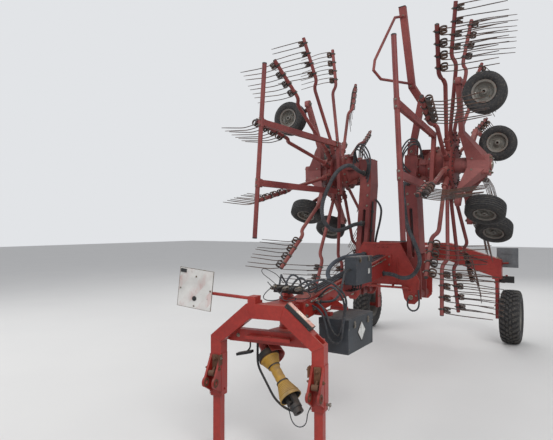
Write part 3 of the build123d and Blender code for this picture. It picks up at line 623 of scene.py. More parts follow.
def rotor(boom):
    """Turned head with a clamped socket for each arm, and the cranked arms."""
    shape = Shape()
    groove = head_r - 12
    shape.ring(boom.at(boom.reach, 0, 0), boom.up, [
        (head_bottom, column_r), (head_bottom, head_r - 30), (head_bottom + 6, head_r - 16),
        (head_bottom + 12, head_r), (head_bottom + 24, head_r), (head_bottom + 28, groove), (head_top - 28, groove),
        (head_top - 24, head_r), (head_top - 12, head_r), (head_top - 4, head_r - 20), (head_top, head_r - 60),
        (head_top, column_r)], 72)
    for k in range(2 * arms):
        shape.bolt(boom.spoke(arm_phase + 180 / arms * (k + 0.5), head_r - 45, head_bottom), -boom.up, 14, DARK)
    for k in range(arms):
        at = arm_angle(k)
        shape.turn(boom.spoke(at, 0, arm_plane), boom.outward(at), [
            (groove - 6, 31), (groove + 8, 33.5), (groove + 20, 30), (360, 30), (362, 34), (380, 34), (382, 26)], 24)
        for r in (285, 340):
            for way in BOTH:
                shape.bolt(boom.spoke(at, r, arm_plane + way * 29.5), boom.up * way, 15, DARK)
        line = [boom.spoke(at, 300, arm_plane), boom.spoke(at, socket_out + 20, arm_plane),
                boom.spoke(at, crank_in, arm_height(crank_in) - crank_rise),
                *(boom.spoke(at, r, arm_height(r)) for r in (crank_out, rotor_r - 4))]
        shape.tube(rounded(line, 55, 5), arm_r - 0.5, 16)
        shape.turn(boom.spoke(at, rotor_r - 6, arm_height(rotor_r - 6)), line[-1] - line[-2],
                   [(0, arm_r - 3.5), (5.5, arm_r - 4.5)], 14, DARK)
    piece(f"{boom.side}_rotor_head_and_arms", shape, [ROTOR_RED, DARK], boom.rotor_body, (boom.rotor_body,))


def tines(boom, seed):
    """Pairs of coil-sprung tines, turned about their arm by the cam, each pair bolted on by a clamp."""
    draw = random.Random(seed)
    shape = Shape()
    mean_r = coil_r - wire_r
    turns, turn_steps, coil_gap = 2.25, 14, 6.5
    steps = int(turns * turn_steps)
    for k in range(arms):
        at = arm_angle(k)
        turn = cam_lift if abs((at + 180) % 360 - 180) < cam_half else 0.0

        def point(r, out=0, kick=0):
            """Out from the arm's axis and kick ahead of it, before the cam turns it."""
            side = -out * math.sin(turn) + kick * math.cos(turn)
            drop = out * math.cos(turn) + kick * math.sin(turn)
            return boom.spoke(at, r, arm_height(r) - drop, side)

        for pair in range(tine_pairs):
            middle = rotor_r - tine_end - (2 * pair + 0.5) * tine_pitch
            for leg in BOTH:
                coil = []
                for i in range(steps + 1):
                    share = i / steps
                    angle = math.tau * turns * (1 - share)
                    r = middle + leg * (coil_gap + (tine_pitch / 2 - coil_gap) * share)
                    coil.append(point(r, coil_drop - mean_r * math.sin(angle), mean_r * math.cos(angle)))
                r = middle + leg * tine_pitch / 2
                tip = arm_height(r) - tine_tip_z
                bend, sway = draw.uniform(-12, 12), draw.uniform(-6, 6)
                line = coil + rounded([
                    coil[-1], point(r, coil_drop + tine_start, tine_kick),
                    point(r + sway, (coil_drop + tine_start + tip) / 2, (tine_kick + bend) / 2),
                    point(r + 1.6 * sway, tip - abs(bend), bend)], 45, 3)[1:]
                shape.tube(line, [wire_r] * (len(line) - 1) + [wire_r * 0.7], 6)
            centre = point(middle)
            way = point(middle + 10) - centre
            shape.turn(centre, way, [(-9, arm_r + 0.5), (-8.5, arm_r + 5), (8.5, arm_r + 5), (9, arm_r + 0.5)], 18,
                       DARK)
            shape.block(point(middle, coil_drop - 12), (11, 30, 42), way, point(middle, 0, 10) - centre, DARK)
            shape.bolt(point(middle, -arm_r - 4), centre - point(middle, 10), 13, ZINC)
    piece(f"{boom.side}_sprung_tines", shape, [STEEL, DARK, ZINC], boom.rotor_body, (f"{boom.side}_tines",), crease=50)


def middle_of(node):
    low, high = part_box(node)
    return (low + high) / 2


def caster_wheel(side, name):
    """Ribbed tyre on a dished rim with its bolts, hub and valve."""
    node = f"{side}_{name}_wheel"
    centre = middle_of(node)
    axis = axis_of(f"{node}_spin")
    first, second = square_to(axis)
    half, bead, crown = caster_tyre_w / 2, caster_rim_r, caster_tyre_r
    flank = [(-56, bead - 4), (-60, bead + 6), (-70, bead + 14), (-half, bead + 36), (-half + 1, bead + 52),
             (-72, crown - 16), (-62, crown - 6)]
    ribs = []
    for k in range(-2, 3):
        middle = 23.5 * k
        rise = crown - 0.0013 * middle * middle
        ribs += [(middle - 10.5, rise - 6), (middle - 9, rise), (middle + 9, rise), (middle + 10.5, rise - 6)]
    inner = [(50, bead - 8), (45, crown - 30), (-45, crown - 30), (-50, bead - 8)]
    shape = Shape()
    shape.ring(centre, axis, flank + ribs + mirrored(flank) + inner, 56)
    for way in (-axis, axis):
        shape.ring(centre, way, [
            (64, bead - 2), (66, bead + 2), (62, bead - 12), (40, bead - 16), (22, bead - 26), (12, 70), (14, 50),
            (30, 34), (30, 13), (8, 13), (8, bead - 30), (30, bead - 20), (60, bead - 18)], 40, RIM)
        shape.ring(centre, way, [(30, 30), (56, 28), (62, 20), (62.5, 14), (30, 13.5)], 24, RIM)
        for at in circle(centre + way * 11.5, first, second, 61, 4, 0.5):
            shape.bolt(at, way, 14, ZINC)
    valve = centre + axis * 30 + first * 88
    shape.rod(valve, valve + axis * 22 - first * 10, 4, 8, ZINC)
    piece(f"{node}_dressed", shape, [TYRE, RIM, ZINC], node, (node,))


def rear_wheel(side):
    """Tyre with angled shoulder lugs and centre blocks, its rim with nuts, hub cap and valve."""
    body = f"{side}_road_wheel"
    centre = pivot(f"{body}_spin")
    out = LEFT if side == "left" else -LEFT
    lug_depth, lugs = 15, 30
    carcass, half, bead = tyre_r - lug_depth, tyre_w / 2, rim_r
    flank = [(-104, bead - 6), (-110, bead + 6), (-124, bead + 30), (-half, bead + 75), (-half + 2, bead + 105),
             (-120, carcass - 30), (-105, carcass - 12), (-75, carcass - 4)]
    inner = [(98, bead - 8), (90, carcass - 30), (-90, carcass - 30), (-98, bead - 8)]
    tyre = Shape()
    tyre.ring(centre, out, flank + [(0, carcass)] + mirrored(flank) + inner, 72)
    pitch = math.tau / lugs

    def on_tread(a, r, angle):
        return centre + out * a + (REAR * math.sin(angle) + UP * math.cos(angle)) * r

    # stations across the tread: along the axle, top radius, how far the lug trails round the tyre
    shoulder = ((46, tyre_r - 1, 0.0), (85, tyre_r - 4, 0.45), (108, tyre_r - 14, 0.75), (124, tyre_r - 44, 0.9),
                (127, tyre_r - 75, 0.95))
    centre_block = ((4, tyre_r, 0.25), (20, tyre_r, 0.42), (36, tyre_r - 1, 0.6))
    for row, width, shift in ((shoulder, 0.56, 0.0), (centre_block, 0.6, 0.45)):
        for hand in BOTH:
            for k in range(lugs):
                start = pitch * (k + shift + (0.5 if hand > 0 else 0.0))
                rings = []
                for a, r, trail in row:
                    left, right = (start + pitch * (trail * 0.6 + width * e / 2) for e in BOTH)
                    rings.append([on_tread(hand * a, r - low, angle) for low, angle in (
                        (20, left), (1, left + 0.004), (1, right - 0.004), (20, right))])
                tyre.rings(rings, TREAD)
    piece(f"{side}_rear_tyre_treaded", tyre, [TYRE, TREAD], body, (f"{side}_rear_tyre",), crease=40)

    rim = Shape()
    rim.ring(centre, out, [
        (108, bead + 4), (110, bead), (106, bead - 8), (92, bead - 16), (70, bead - 22), (60, bead - 30),
        (52, bead - 50), (50, 120), (54, 112), (54, 40), (30, 32), (-10, 31), (-10, 60), (30, 62), (40, 110),
        (35, bead - 45), (-60, bead - 28), (-92, bead - 18), (-108, bead), (-108, bead + 4)], 64)
    rim.turn(centre, out, [(50, 56), (82, 54), (94, 46), (98, 30), (99, 6)])
    for at in circle(centre + out * 53.5, UP, REAR, 85, 6, 0.25):
        rim.bolt(at, out, 22, ZINC)
    for at in circle(centre + out * 49, UP, REAR, 140, 8):
        rim.turn(at, out, [(0, 13), (1.8, 12.5), (2, 8)], 14, BLACK)
    valve = centre + out * 50 + REAR * 155 + UP * 50
    rim.rod(valve, valve + out * 35 - REAR * 12, 4.2, 8, BLACK)
    piece(f"{side}_rear_rim_dressed", rim, [RIM, ZINC, BLACK], body, (f"{side}_rear_rim",))


BOOMS = {side: Boom(side) for side in SIDES}
for seed, boom in enumerate(BOOMS.values(), 11):
    rotor(boom)
    tines(boom, seed)
for side in SIDES:
    rear_wheel(side)
    for name in CASTERS:
        caster_wheel(side, name)

head_x = LEFT * math.cos(headstock_turn) + REAR * math.sin(headstock_turn)
head_y = REAR * math.cos(headstock_turn) - LEFT * math.sin(headstock_turn)


def headed(x, y, z):
    """Point on the headstock as it is drawn square to the machine, turned with it."""
    return spot(0, kingpin_y, z) + head_x * x + head_y * (y - kingpin_y)


def headstock():
    """Welds, worn pin bushes, stand pins, bolts, the reflective strip and the board's fixings."""
    shape = Shape()
    front, leg_half, ear_half, stand_y = 75, 42.5, 47, 120
    slope = (142, 1108), (427.5, 865)
    bush = [(-1, 16.5), (-1, 31), (4.5, 29), (4.5, 16.5)]
    for side in BOTH:
        leg, outer = side * leg_x, head_x * side
        for a, b in ((slope[0], (114, 1006)), (slope[1], (342.5, 822.5))):
            shape.weld(headed(side * a[0], front, a[1]), headed(side * b[0], front, b[1]))
        for edge in BOTH:
            for off in (-8, 8):
                x = leg + edge * (ear_half - 8) + off
                shape.weld(headed(x, front, 730), headed(x, front, 442), 3.5)
            out = head_x * edge
            shape.ring(headed(leg + edge * ear_half, 0, 550), out, bush, 28, BROWN)
            shape.ring(headed(leg + edge * (ear_half - 16), 0, 550), -out, bush, 28, BROWN)
            shape.bolt(headed(leg + edge * ear_half, 40, 640), out, 17, BROWN)
        # pin through the sleeve's wall, its head and pull ring
        wall = leg_x + leg_half
        start, end = headed(side * (wall - 9), stand_y, 477), headed(side * (wall + 26), stand_y, 477)
        shape.rod(start, end, 8.5, 14, ZINC)
        shape.turn(end, outer, [(-2, 12), (0, 13.5), (6, 13.5), (8, 11)], 18, ZINC)
        loop = circle(headed(side * (wall + 18), stand_y, 460), -UP, head_y, 19, 20)
        shape.tube(loop + [loop[0]], 1.8, 6, ZINC)
        shape.turn(headed(side * wall, stand_y, 477), outer, [(-1, 20), (4, 18.5), (4, 9.5)], 20)
        # lip round the sleeve's foot
        for edge in BOTH:
            shape.weld(*(headed(leg + x, stand_y + edge * 45, 436) for x in (-42, 42)), 3)
        # latch of the lower link, and the small catch plate that holds its hook
        shape.block(headed(leg, 71, 668), (46, 12, 120), head_x, head_y, BROWN)
        shape.bolt(headed(leg, 65, 700), -head_y, 20, BROWN)
        shape.rod(headed(leg, 62, 640), headed(leg, 18, 606), 8.5, 12, BROWN)
        shape.turn(headed(leg, 22, 609), head_x, [(-22, 8), (-22, 20), (22, 20), (22, 8)], 20, BROWN)
        shape.block(headed(side * (leg_x - ear_half - 5), 52, 700), (9, 44, 70), head_x, head_y, BROWN)
        shape.bolt(headed(side * (leg_x - ear_half - 9.5), 52, 712), -outer, 14, ZINC)
    shape.bolt(headed(0, 165, 862), -head_y, 34)
    shape.bolt(grid(headed, (-250, 250), 165, 862), -head_y, 18, ZINC)
    # ribs between the two plates and the arch
    shape.block(grid(headed, (-112, 112), 215, 1085), (10, 110, 50), head_x, head_y)

    # marker board's fixings: clamp plate, bolts, a dark mount seen on its face, and the frame round its edge
    tilt = math.radians(6)
    board_x = head_x * math.cos(tilt) - UP * math.sin(tilt)
    board_z = head_x * math.sin(tilt) + UP * math.cos(tilt)

    def on_board(x, z, out=0):
        return headed(-560, 75, 1190) + board_x * x + board_z * z - head_y * out

    shape.block(on_board(-112, 122, 4.5), (50, 6, 26), board_x, head_y, BLACK)
    shape.turn(on_board(0, -72, 2), -head_y, [(0, 19), (4, 19), (7, 15), (7, 8), (12, 7)], 9, BLACK)
    shape.bolt([on_board(*p, 2) for p in ((128, 0), (-128, -10), (0, 90), (0, -128))], -head_y, 9, ZINC)
    shape.block(grid(on_board, 0, (-90, 60), -4.5), (50, 7, 30), board_x, head_y)
    shape.block(grid(on_board, (-144.5, 144.5), 0), (3, 7, 290), board_x, head_y, ZINC)
    shape.block(grid(on_board, 0, (-144.5, 144.5)), (290, 7, 3), board_x, head_y, ZINC)
    piece("headstock_fittings", shape, [HEAD_RED, DARK, BROWN, ZINC, BLACK], "headstock", bevel=1.2)

    # reflective strip on its holder, along the arch's left slope; the holder's black is partly its own dark colour and
    # partly painted shade for its shadowed side
    strip = Shape()
    a, b = (Vector((x, z)) for x, z in slope)
    run, mid = (b - a).normalized(), a.lerp(b, 0.328)
    along, out = head_x * run.x + UP * run.y, UP * run.x - head_x * run.y
    place = headed(mid.x, 118, mid.y) + out * 16
    strip.block(place, (236, 70, 30), along, head_y)
    strip.block(place + out * 16.5, (226, 52, 3), along, head_y, REFLECTOR)
    for end in (-115.5, 115.5):
        strip.bolt(place + along * end + out * 15, out, 8, ZINC)
        strip.block(place + along * end * 0.9 - out * 12, (20, 84, 12), along, head_y)
    piece("reflective_strip", strip, [BLACK, REFLECTOR, ZINC], "headstock", bevel=1)


def drive_shaft():
    """Guard with its ribbed bells, bearing rings and painted shade inside its mouth; shield, cradle and yoke's collar.
    """
    start, end = spot(-75, 290, 742), spot(225, 170, 476)
    way, whole = step(end - start), (end - start).length / MM
    near, tube_r = whole - 110, 36
    outer = [(45, 29), (45, 30.5), (84, 30.5), (85, 70), (88, 72.5), (94, 72.5), (98, 69)]
    for k in range(5):
        at, r = 102 + 9 * k, 67 - 3.7 * k
        outer += [(at, r), (at + 4, r), (at + 5, r - 3), (at + 8, r - 3)]
    outer += [(150, 48), (152, 43), (168, 43), (170, tube_r)]
    for at in (200, 250, 300):
        outer += [(at, tube_r), (at + 3, 37.5), (at + 7, 37.5), (at + 10, tube_r)]
    outer = [p for p in outer if p[0] < near - 30]
    outer += [(near - 26, tube_r), (near - 24, 43), (near - 6, 43), (near - 4, 45)]
    for k in range(7):
        at, r = near + 12 * k, 46 + 4.2 * k
        outer += [(at, r), (at + 5, r + 3), (at + 9, r + 3), (at + 11.5, r)]
    outer += [(whole - 20, 76), (whole - 4, 79.5), (whole, 79.5), (whole, 73.5)]
    guard = Shape()
    guard.ring(start, way, outer + [(whole - 80, 46.5), (whole - 85, 20), (50, 20)], 48)
    # black shell over the inside of the bell's flare, painted shade in its mouth, and the rings at its neck and at the
    # root
    guard.ring(start, way, [(whole - 3, 73.3), (whole - 2, 71.5), (whole - 78, 45.5), (whole - 79, 46.3)], 48, BLACK)
    guard.ring(start, way, [(85.5, 73.5), (85.5, 76.5), (90.5, 76.5), (90.5, 73)], 48, BROWN)
    for at in (160, near - 15):
        guard.ring(start, way, [(at - 5, 42.5), (at - 5, 45.5), (at + 5, 45.5), (at + 5, 42.5)], 40, BLACK)
    piece("drive_shaft_guard_ribbed", guard, [YELLOW, BLACK, BROWN], "headstock", ("drive_shaft_guard",), crease=38)

    fit = Shape()
    # dark cover of the joint at the gearbox, and the half shield beside it
    fit.ring(start, way, [(30, 34), (30, 60), (40, 74), (83, 80), (84, 78), (44, 69), (36, 56), (36, 34)], 40)
    first = head_x * 0.9 + head_y * 0.5 + UP * 0.25
    unit = way.normalized()
    first = step(first - unit * first.dot(unit))
    second = unit.cross(first)
    rings = []
    for k in range(17):
        a = math.radians(-78 + 156 * k / 16)
        spoke = first * math.cos(a) + second * math.sin(a)
        rings.append([start + way * s + spoke * r for s, r in ((-20, 106), (-20, 100), (100, 112), (100, 118))])
    fit.rings(rings, HEAD_RED)
    for k in BOTH:
        fit.block(start + way * 10 + second * k * 62 + first * 50, (12, 90, 14), way, first, HEAD_RED)
    # collar and cross of the joint inside the bell
    fit.turn(end, way, [(58, 36.5), (60, 41), (82, 41), (84, 36.5)])
    across, _ = square_to(way)
    cross = end + way * 31
    fit.rod(cross - across * 36, cross + across * 36, 11, 18, DARK)
    for k in BOTH:
        fit.turn(cross + across * k * 34, across * k, [(0, 13.5), (4, 13.5), (5, 9)], 18, DARK)
    fit.rod(end + way * 70, end + way * 70 + across * 50, 6, 12, DARK)
    # bracket that carries the loose end, and the dark step plate left of the joint on its rod
    arm = [headed(*p) for p in ((-128, 235, 845), (-132, 240, 640), (10, 225, 420), (110, 190, 375), (205, 165, 378))]
    fit.tube(rounded(arm, 50), 8.5)
    fit.block(arm[0], (50, 40, 12), head_x, head_y)
    fit.block(headed(-205, 180, 735), (120, 50, 18), head_x + UP * 0.25, head_y)
    fit.tube(rounded([headed(*p) for p in ((-165, 190, 826), (-165, 190, 770), (-190, 182, 742))], 20), 6, 10)
    # gearbox plugs and flange bolts
    fit.bolt(grid(spot, (-116.28, -33.72), (322, 398), 690), -UP, 13, DARK)
    fit.turn(spot(-17, 360, 760), LEFT, [(0, 18), (4, 18), (5, 11), (14, 11)], 6, DARK)
    piece("drive_shaft_fittings", fit, [BLACK, HEAD_RED, DARK], "headstock", bevel=0.8)


def box_trim(name, centre, size, lid):
    """Lid, seams, hinges, catches and corner rivets of a sheet-metal box."""
    shape = Shape()
    x, y, z = (s / 2 for s in size)
    top = centre + UP * (z - lid / 2)
    for sign in BOTH:
        side, front = LEFT * sign, REAR * sign
        shape.block(top + side * (x + 1), (4, size[1] + 6, lid))
        shape.block(top + front * (y + 1), (size[0] + 6, 4, lid))
        shape.block(centre - UP * (z - 6) + front * (y + 0.8), (size[0], 3, 12))
        for corner in BOTH:
            edge = centre + side * x + REAR * corner * (y - 9)
            shape.block(edge + side * 0.5, (2.5, 18, size[2]))
            for height in (-0.7, 0.45):
                shape.turn(edge + side * 1.5 + UP * height * z, side, [(0, 4.5), (2, 4), (3, 2)], 10, ZINC)
    shape.block(centre + UP * (z + 1.2), (size[0] - 10, size[1] - 10, 3.5))
    # catches on the outer side
    for share in (-0.55, 0.55):
        at = centre + LEFT * (x + 5) + REAR * share * y + UP * (z - lid)
        shape.block(at, (6, 26, 52), part=ZINC)
        pin = at + LEFT * 5 + UP * 12
        shape.rod(pin - REAR * 13, pin + REAR * 13, 3.5, 10, ZINC)
        shape.block(at + LEFT * 6 - UP * 8, (3, 16, 26), part=ZINC)
    piece(name, shape, [BOX_GREY, ZINC], bevel=0.9)


def boxes():
    """Trim of the tool box and the control box, their blank plates, glands and fixings."""
    tool_y, control_x = 980, 158
    box_trim("tool_box_trim", spot(275, tool_y, 796), (250, 500, 264), 50)
    box_trim("control_box_trim", spot(control_x, 1510, 1246), (112, 370, 250), 22)
    marks = Shape()
    face = spot(401.5, 986, 806)
    marks.block(face, (3, 118, 118), LEFT, REAR + UP)
    marks.block(face + LEFT * 1.5, (2, 104, 104), LEFT, REAR + UP, PLATE)
    marks.block(spot(216, 1624, 1232), (3, 40, 50), part=PLATE)
    for k in BOTH:
        marks.turn(spot(216, 1624, 1232 + 19 * k), LEFT, [(0, 3), (2.5, 2.5)], 8)
        marks.turn(face + step(UP - REAR) * 47 * k, LEFT, [(0, 3.5), (3.5, 3)], 8)
    piece("blank_box_plates", marks, [DARK, PLATE])
    fixings = Shape()
    for k in range(4):
        at = spot(control_x, 1380 + 62 * k, 1121)
        fixings.turn(at, -UP, [(-1, 14), (8, 14), (9, 11), (26, 11), (30, 7.5)], 8)
        fixings.tube(rounded([at - UP * 20, at - UP * 65, spot(75, 1400 + 62 * k, 1058)], 30), 5.5, 8)
    bolt_ys = tuple(tool_y + y for y in (-166, -134, 134, 166))
    fixings.bolt(grid(spot, 90.5, bolt_ys, 976), LEFT, 15, ZINC)
    fixings.bolt(grid(spot, 190, bolt_ys, 973.6), UP, 13, ZINC)
    piece("box_fixings", fixings, [BLACK, ZINC])


def beam_top(y):
    """Height of the main beam's top at y."""
    return 1060 + (y - 590) * 0.1392


def beam():
    """Kingpin's nut, side seams, steel pipes with their clamps, and the coupling bracket on the kingpin."""
    shape = Shape()
    cap = spot(0, kingpin_y, 1146)
    shape.turn(cap, UP, [(-30, 52), (-22, 52), (-20, 44), (14, 44), (18, 36)], 6, HEAD_RED)
    shape.turn(cap, UP, [(17, 20), (30, 18), (32, 8)], 20, HEAD_RED)
    shape.rod(cap + UP * 4 - LEFT * 58, cap + UP * 4 + LEFT * 58, 3, 8, ZINC)
    for x in (-75, 75):
        for z in (-72, 72):
            shape.weld(spot(x, 596, 985 + z), spot(x, 2525, 1225 + z * 1.4), 3)
    # two pipes along the right side and one on the left, clamped at four places
    for x, drop in ((-84, 40), (-84, 66), (84, 30)):
        line = [spot(x, y, beam_top(y) - drop) for y in (720, 1500, 2440)]
        shape.tube(line, 6, 10, ZINC)
        for end, way in ((line[0], -REAR), (line[-1], REAR)):
            shape.turn(end, way, [(-20, 10.5), (6, 10.5), (7, 8.5), (18, 8.5)], 6, ZINC)
    for y in (900, 1380, 1860, 2300):
        for x, drop, tall in ((-1, 53, 52), (1, 30, 26)):
            shape.block(spot(x * 83, y, beam_top(y) - drop), (18, 30, tall), part=BLACK)
            shape.bolt(spot(x * 92, y, beam_top(y) - drop), LEFT * x, 10, ZINC)
    # cheek plates at the beam's nose, with their bolts
    cheek = ((596, 918), (596, 1052), (640, 1060), (800, 1072), (860, 1050), (860, 1012), (780, 940), (640, 918))
    for x in BOTH:
        shape.rings([[spot(x * off, y, z) for y, z in cheek] for off in (74, 85)], HEAD_RED)
        for y, z in ((640, 945), (640, 1030), (760, 985), (820, 1040)):
            shape.bolt(spot(x * 85, y, z), LEFT * x, 20, ZINC)
    # gussets between the beam and the tool box's bearer
    for y in (830, 1130):
        shape.rings([[spot(x, y + e, z) for x, z in ((74, 1040), (74, 960), (168, 960), (196, 975))]
                     for e in (-32, -26)], HEAD_RED)
    # flange where the beam meets the centre frame
    shape.bolt(grid(spot, (-100, 100), 2530, (1135, 1225, 1315)), -REAR, 22, ZINC)
    shape.block(spot(0, 2524, 1225), (250, 12, 250))
    piece("main_beam_fittings", shape, [FRAME_RED, HEAD_RED, ZINC, BLACK], bevel=1)

    rack = Shape()
    rack.tube(rounded(route((40, 490, 1150), (60, 420, 1150), (95, 352, 1162)), 30), 11)
    rack.block(spot(95, 345, 1190), (250, 8, 56))
    rack.block(spot(95, 352, 1162), (250, 22, 6))
    piece("coupling_rack", rack, [DARK], bevel=0.8)


def coupling(k):
    """One hose end in the rack: its cap ahead of the plate and its collar behind."""
    at = spot(-8 + 52 * k, 341, 1198)
    end = Shape()
    end.turn(at, -REAR, [(0, 16.5), (12, 16.5), (13, 12.5), (30, 12.5), (32, 15), (52, 15), (53, 10.5), (66, 10.5),
                         (67, 6)], 20, BLACK if k % 2 else ZINC)
    end.turn(at + REAR * 8, REAR, [(0, 13), (20, 13), (21, 9.5), (46, 9)], 6, ZINC)
    return piece(f"hose_coupling_{k + 1}", end, [BLACK, ZINC])


def thin_hoses():
    """Small hoses and cables that loop over the headstock and along the beam."""
    collar = 386, 1198
    for k, line in enumerate((
            ((-40, 2514, 1325), (-40, 2100, 1290), (-45, 1850, 1243), (-45, 1500, 1194), (-50, 1000, 1124),
             (-62, 700, 1096), (-95, 560, 1250), (-30, 450, 1290)),
            ((-10, 2514, 1330), (-10, 2120, 1300), (-15, 1900, 1250), (-20, 1540, 1202), (-22, 1020, 1128),
             (-10, 720, 1106), (60, 600, 1240), (30, 470, 1300)),
            ((22, 2514, 1330), (20, 2160, 1300), (12, 1920, 1254), (5, 1560, 1204), (8, 1060, 1134),
             (45, 740, 1100), (130, 610, 1190), (110, 480, 1290)),
            ((50, 2514, 1325), (45, 1960, 1262), (36, 1600, 1210), (38, 1120, 1142), (60, 800, 1104),
             (150, 690, 1140), (230, 560, 1210), (190, 450, 1260)))):
        hose(f"coupling_hose_{k + 1}", route(*line, (-8 + 52 * k, *collar)), 15,
             ends=[coupling(k)])
    hose("looped_hose_1", route(
        (76, 740, 1015), (170, 705, 1000), (225, 690, 900), (255, 688, 760), (360, 692, 745), (374, 692, 920),
        (425, 676, 1110), (340, 570, 1240), (245, 470, 1262), (200, *collar)), 17,
        ends=[coupling(4)])
    hose("looped_hose_2", route(
        (76, 860, 1062), (180, 780, 1150), (300, 690, 1190), (400, 684, 1080), (368, 692, 890), (330, 696, 790),
        (270, 696, 850), (216, 702, 1000), (140, 725, 1045), (76, 790, 1035)), 17)
    hose("coupling_cable", route(
        (-20, 468, 1148), (-60, 380, 1235), (-120, 310, 1300), (-80, 270, 1345), (0, 270, 1320), (40, 300, 1290),
        (60, 341, 1230)), 5)
    for k, line in enumerate((
            ((-8, 272, 1198), (-34, 215, 1160), (10, 150, 1128), (110, 150, 1130), (128, 235, 1148), (64, 268, 1172),
             (22, 225, 1222), (-14, 240, 1246)),
            ((96, 272, 1198), (112, 210, 1170), (150, 178, 1134), (188, 226, 1124), (192, 318, 1128),
             (150, 342, 1134), (112, 306, 1122)),
            ((200, 272, 1198), (246, 214, 1222), (292, 272, 1200), (278, 372, 1142), (206, 410, 1118),
             (120, 400, 1112)))):
        hose(f"tangle_cable_{k + 1}", route(*line), cable_d)
    hose("hinge_hose", route((318, 2527, 872), (306, 2462, 800), (380, 2440, 735), (452, 2450, 775),
                             (440, 2490, 905), (422, 2527, 960)), 18)
    hose("guard_cable", [spot(150, 196, 498), *(headed(*p) for p in (
        (150, 150, 400), (185, 120, 320), (240, 110, 295), (294, 112, 325), (300, 118, 420), (342.5, 120, 476)))],
        cable_d, "headstock")


def boom_hoses(boom):
    """Hose loops over the boom's end, from its front side round to the gear's neck, and a run down to the foot."""
    for k in range(3):
        points = [(1300 + 45 * k, -116, 150 - 12 * k), (1400 + 30 * k, -170 - 12 * k, 210),
                  (1600, -200 - 12 * k, 240 - 30 * k), (1780 - 35 * k, -190 - 10 * k, 130 - 30 * k),
                  (1700 - 30 * k, -160, 0), (1555 - 30 * k, -83 - 12 * k, 30 - 24 * k)]
        hose(f"{boom.side}_boom_loop_{k + 1}", [boom.at(*p) for p in points], 18, boom.body)
    for k, y in enumerate((40, 75)):
        points = [(1100, y, 187), (1020, y, 260), (860, y + 20, 235), (620, y + 10, 165), (400, y, 145), (300, y, 105)]
        hose(f"{boom.side}_boom_run_{k + 1}", [boom.at(*p) for p in points], 14, boom.body)


def centre_frame():
    """Washers and end bolts of the hinge pins, welds, stiffeners and the hose fittings of the tower."""
    shape = Shape()
    for edge in BOTH:
        face, out = tower_y + edge * tower_half, REAR * edge
        for side in BOTH:
            at = spot(side * 345, face, 880)
            shape.turn(at, out, [(-1, 44), (6, 44), (7, 22.5)], 36)
            shape.turn(at + out * 20, out, [(-1, 26), (6, 26), (8, 22)], 28, ZINC)
            shape.bolt(at + out * 28, out, 22, ZINC)
            shape.bolt(at + LEFT * side * 52 + UP * 20, out, 14, ZINC)
            shape.block(spot(side * 418, face + edge * 4, 965), (12, 10, 180))
            shape.weld(spot(side * 215, face, 1470), spot(side * 425, face, 1075), 3.5)
        shape.bolt(grid(spot, (-75, -25, 25, 75), face, 1425), out, 16)
        shape.block(spot(0, face + edge * 3, 1462), (400, 8, 18))
        shape.block(grid(spot, (-190, 190), face + edge * 5, 1180), (12, 12, 260))
    # round rail across the tower's front, bent back to the plate at its ends
    shape.tube(rounded(route((-322, 2528, 955), (-322, 2478, 985), (322, 2478, 985), (322, 2528, 955)), 45, 5),
               12.5, 14)
    shape.turn(grid(spot, (-322, 322), 2529, 954), -REAR, [(-4, 26), (4, 26), (6, 14)], 20)
    shape.block(grid(spot, (-150, 150), 2503, 1000), (14, 46, 30))
    # ports of the four hoses
    shape.turn(spot(-200, 2530, 1330), -REAR, [(-5, 34), (20, 34), (21, 29), (30, 28)], 24, BLACK)
    for y, z, r in ((2400, 1137, 32), (895, 1025, 17)):
        shape.turn(spot(75, y, z), LEFT, [(-4, r), (8, r), (9, r - 5)], 24, BLACK)
    shape.turn(spot(-75, 1750, 1090), -LEFT, [(-4, 34), (12, 34), (13, 28)], 24, BLACK)
    piece("centre_frame_fittings", shape, [FRAME_RED, ZINC, BLACK], bevel=1)


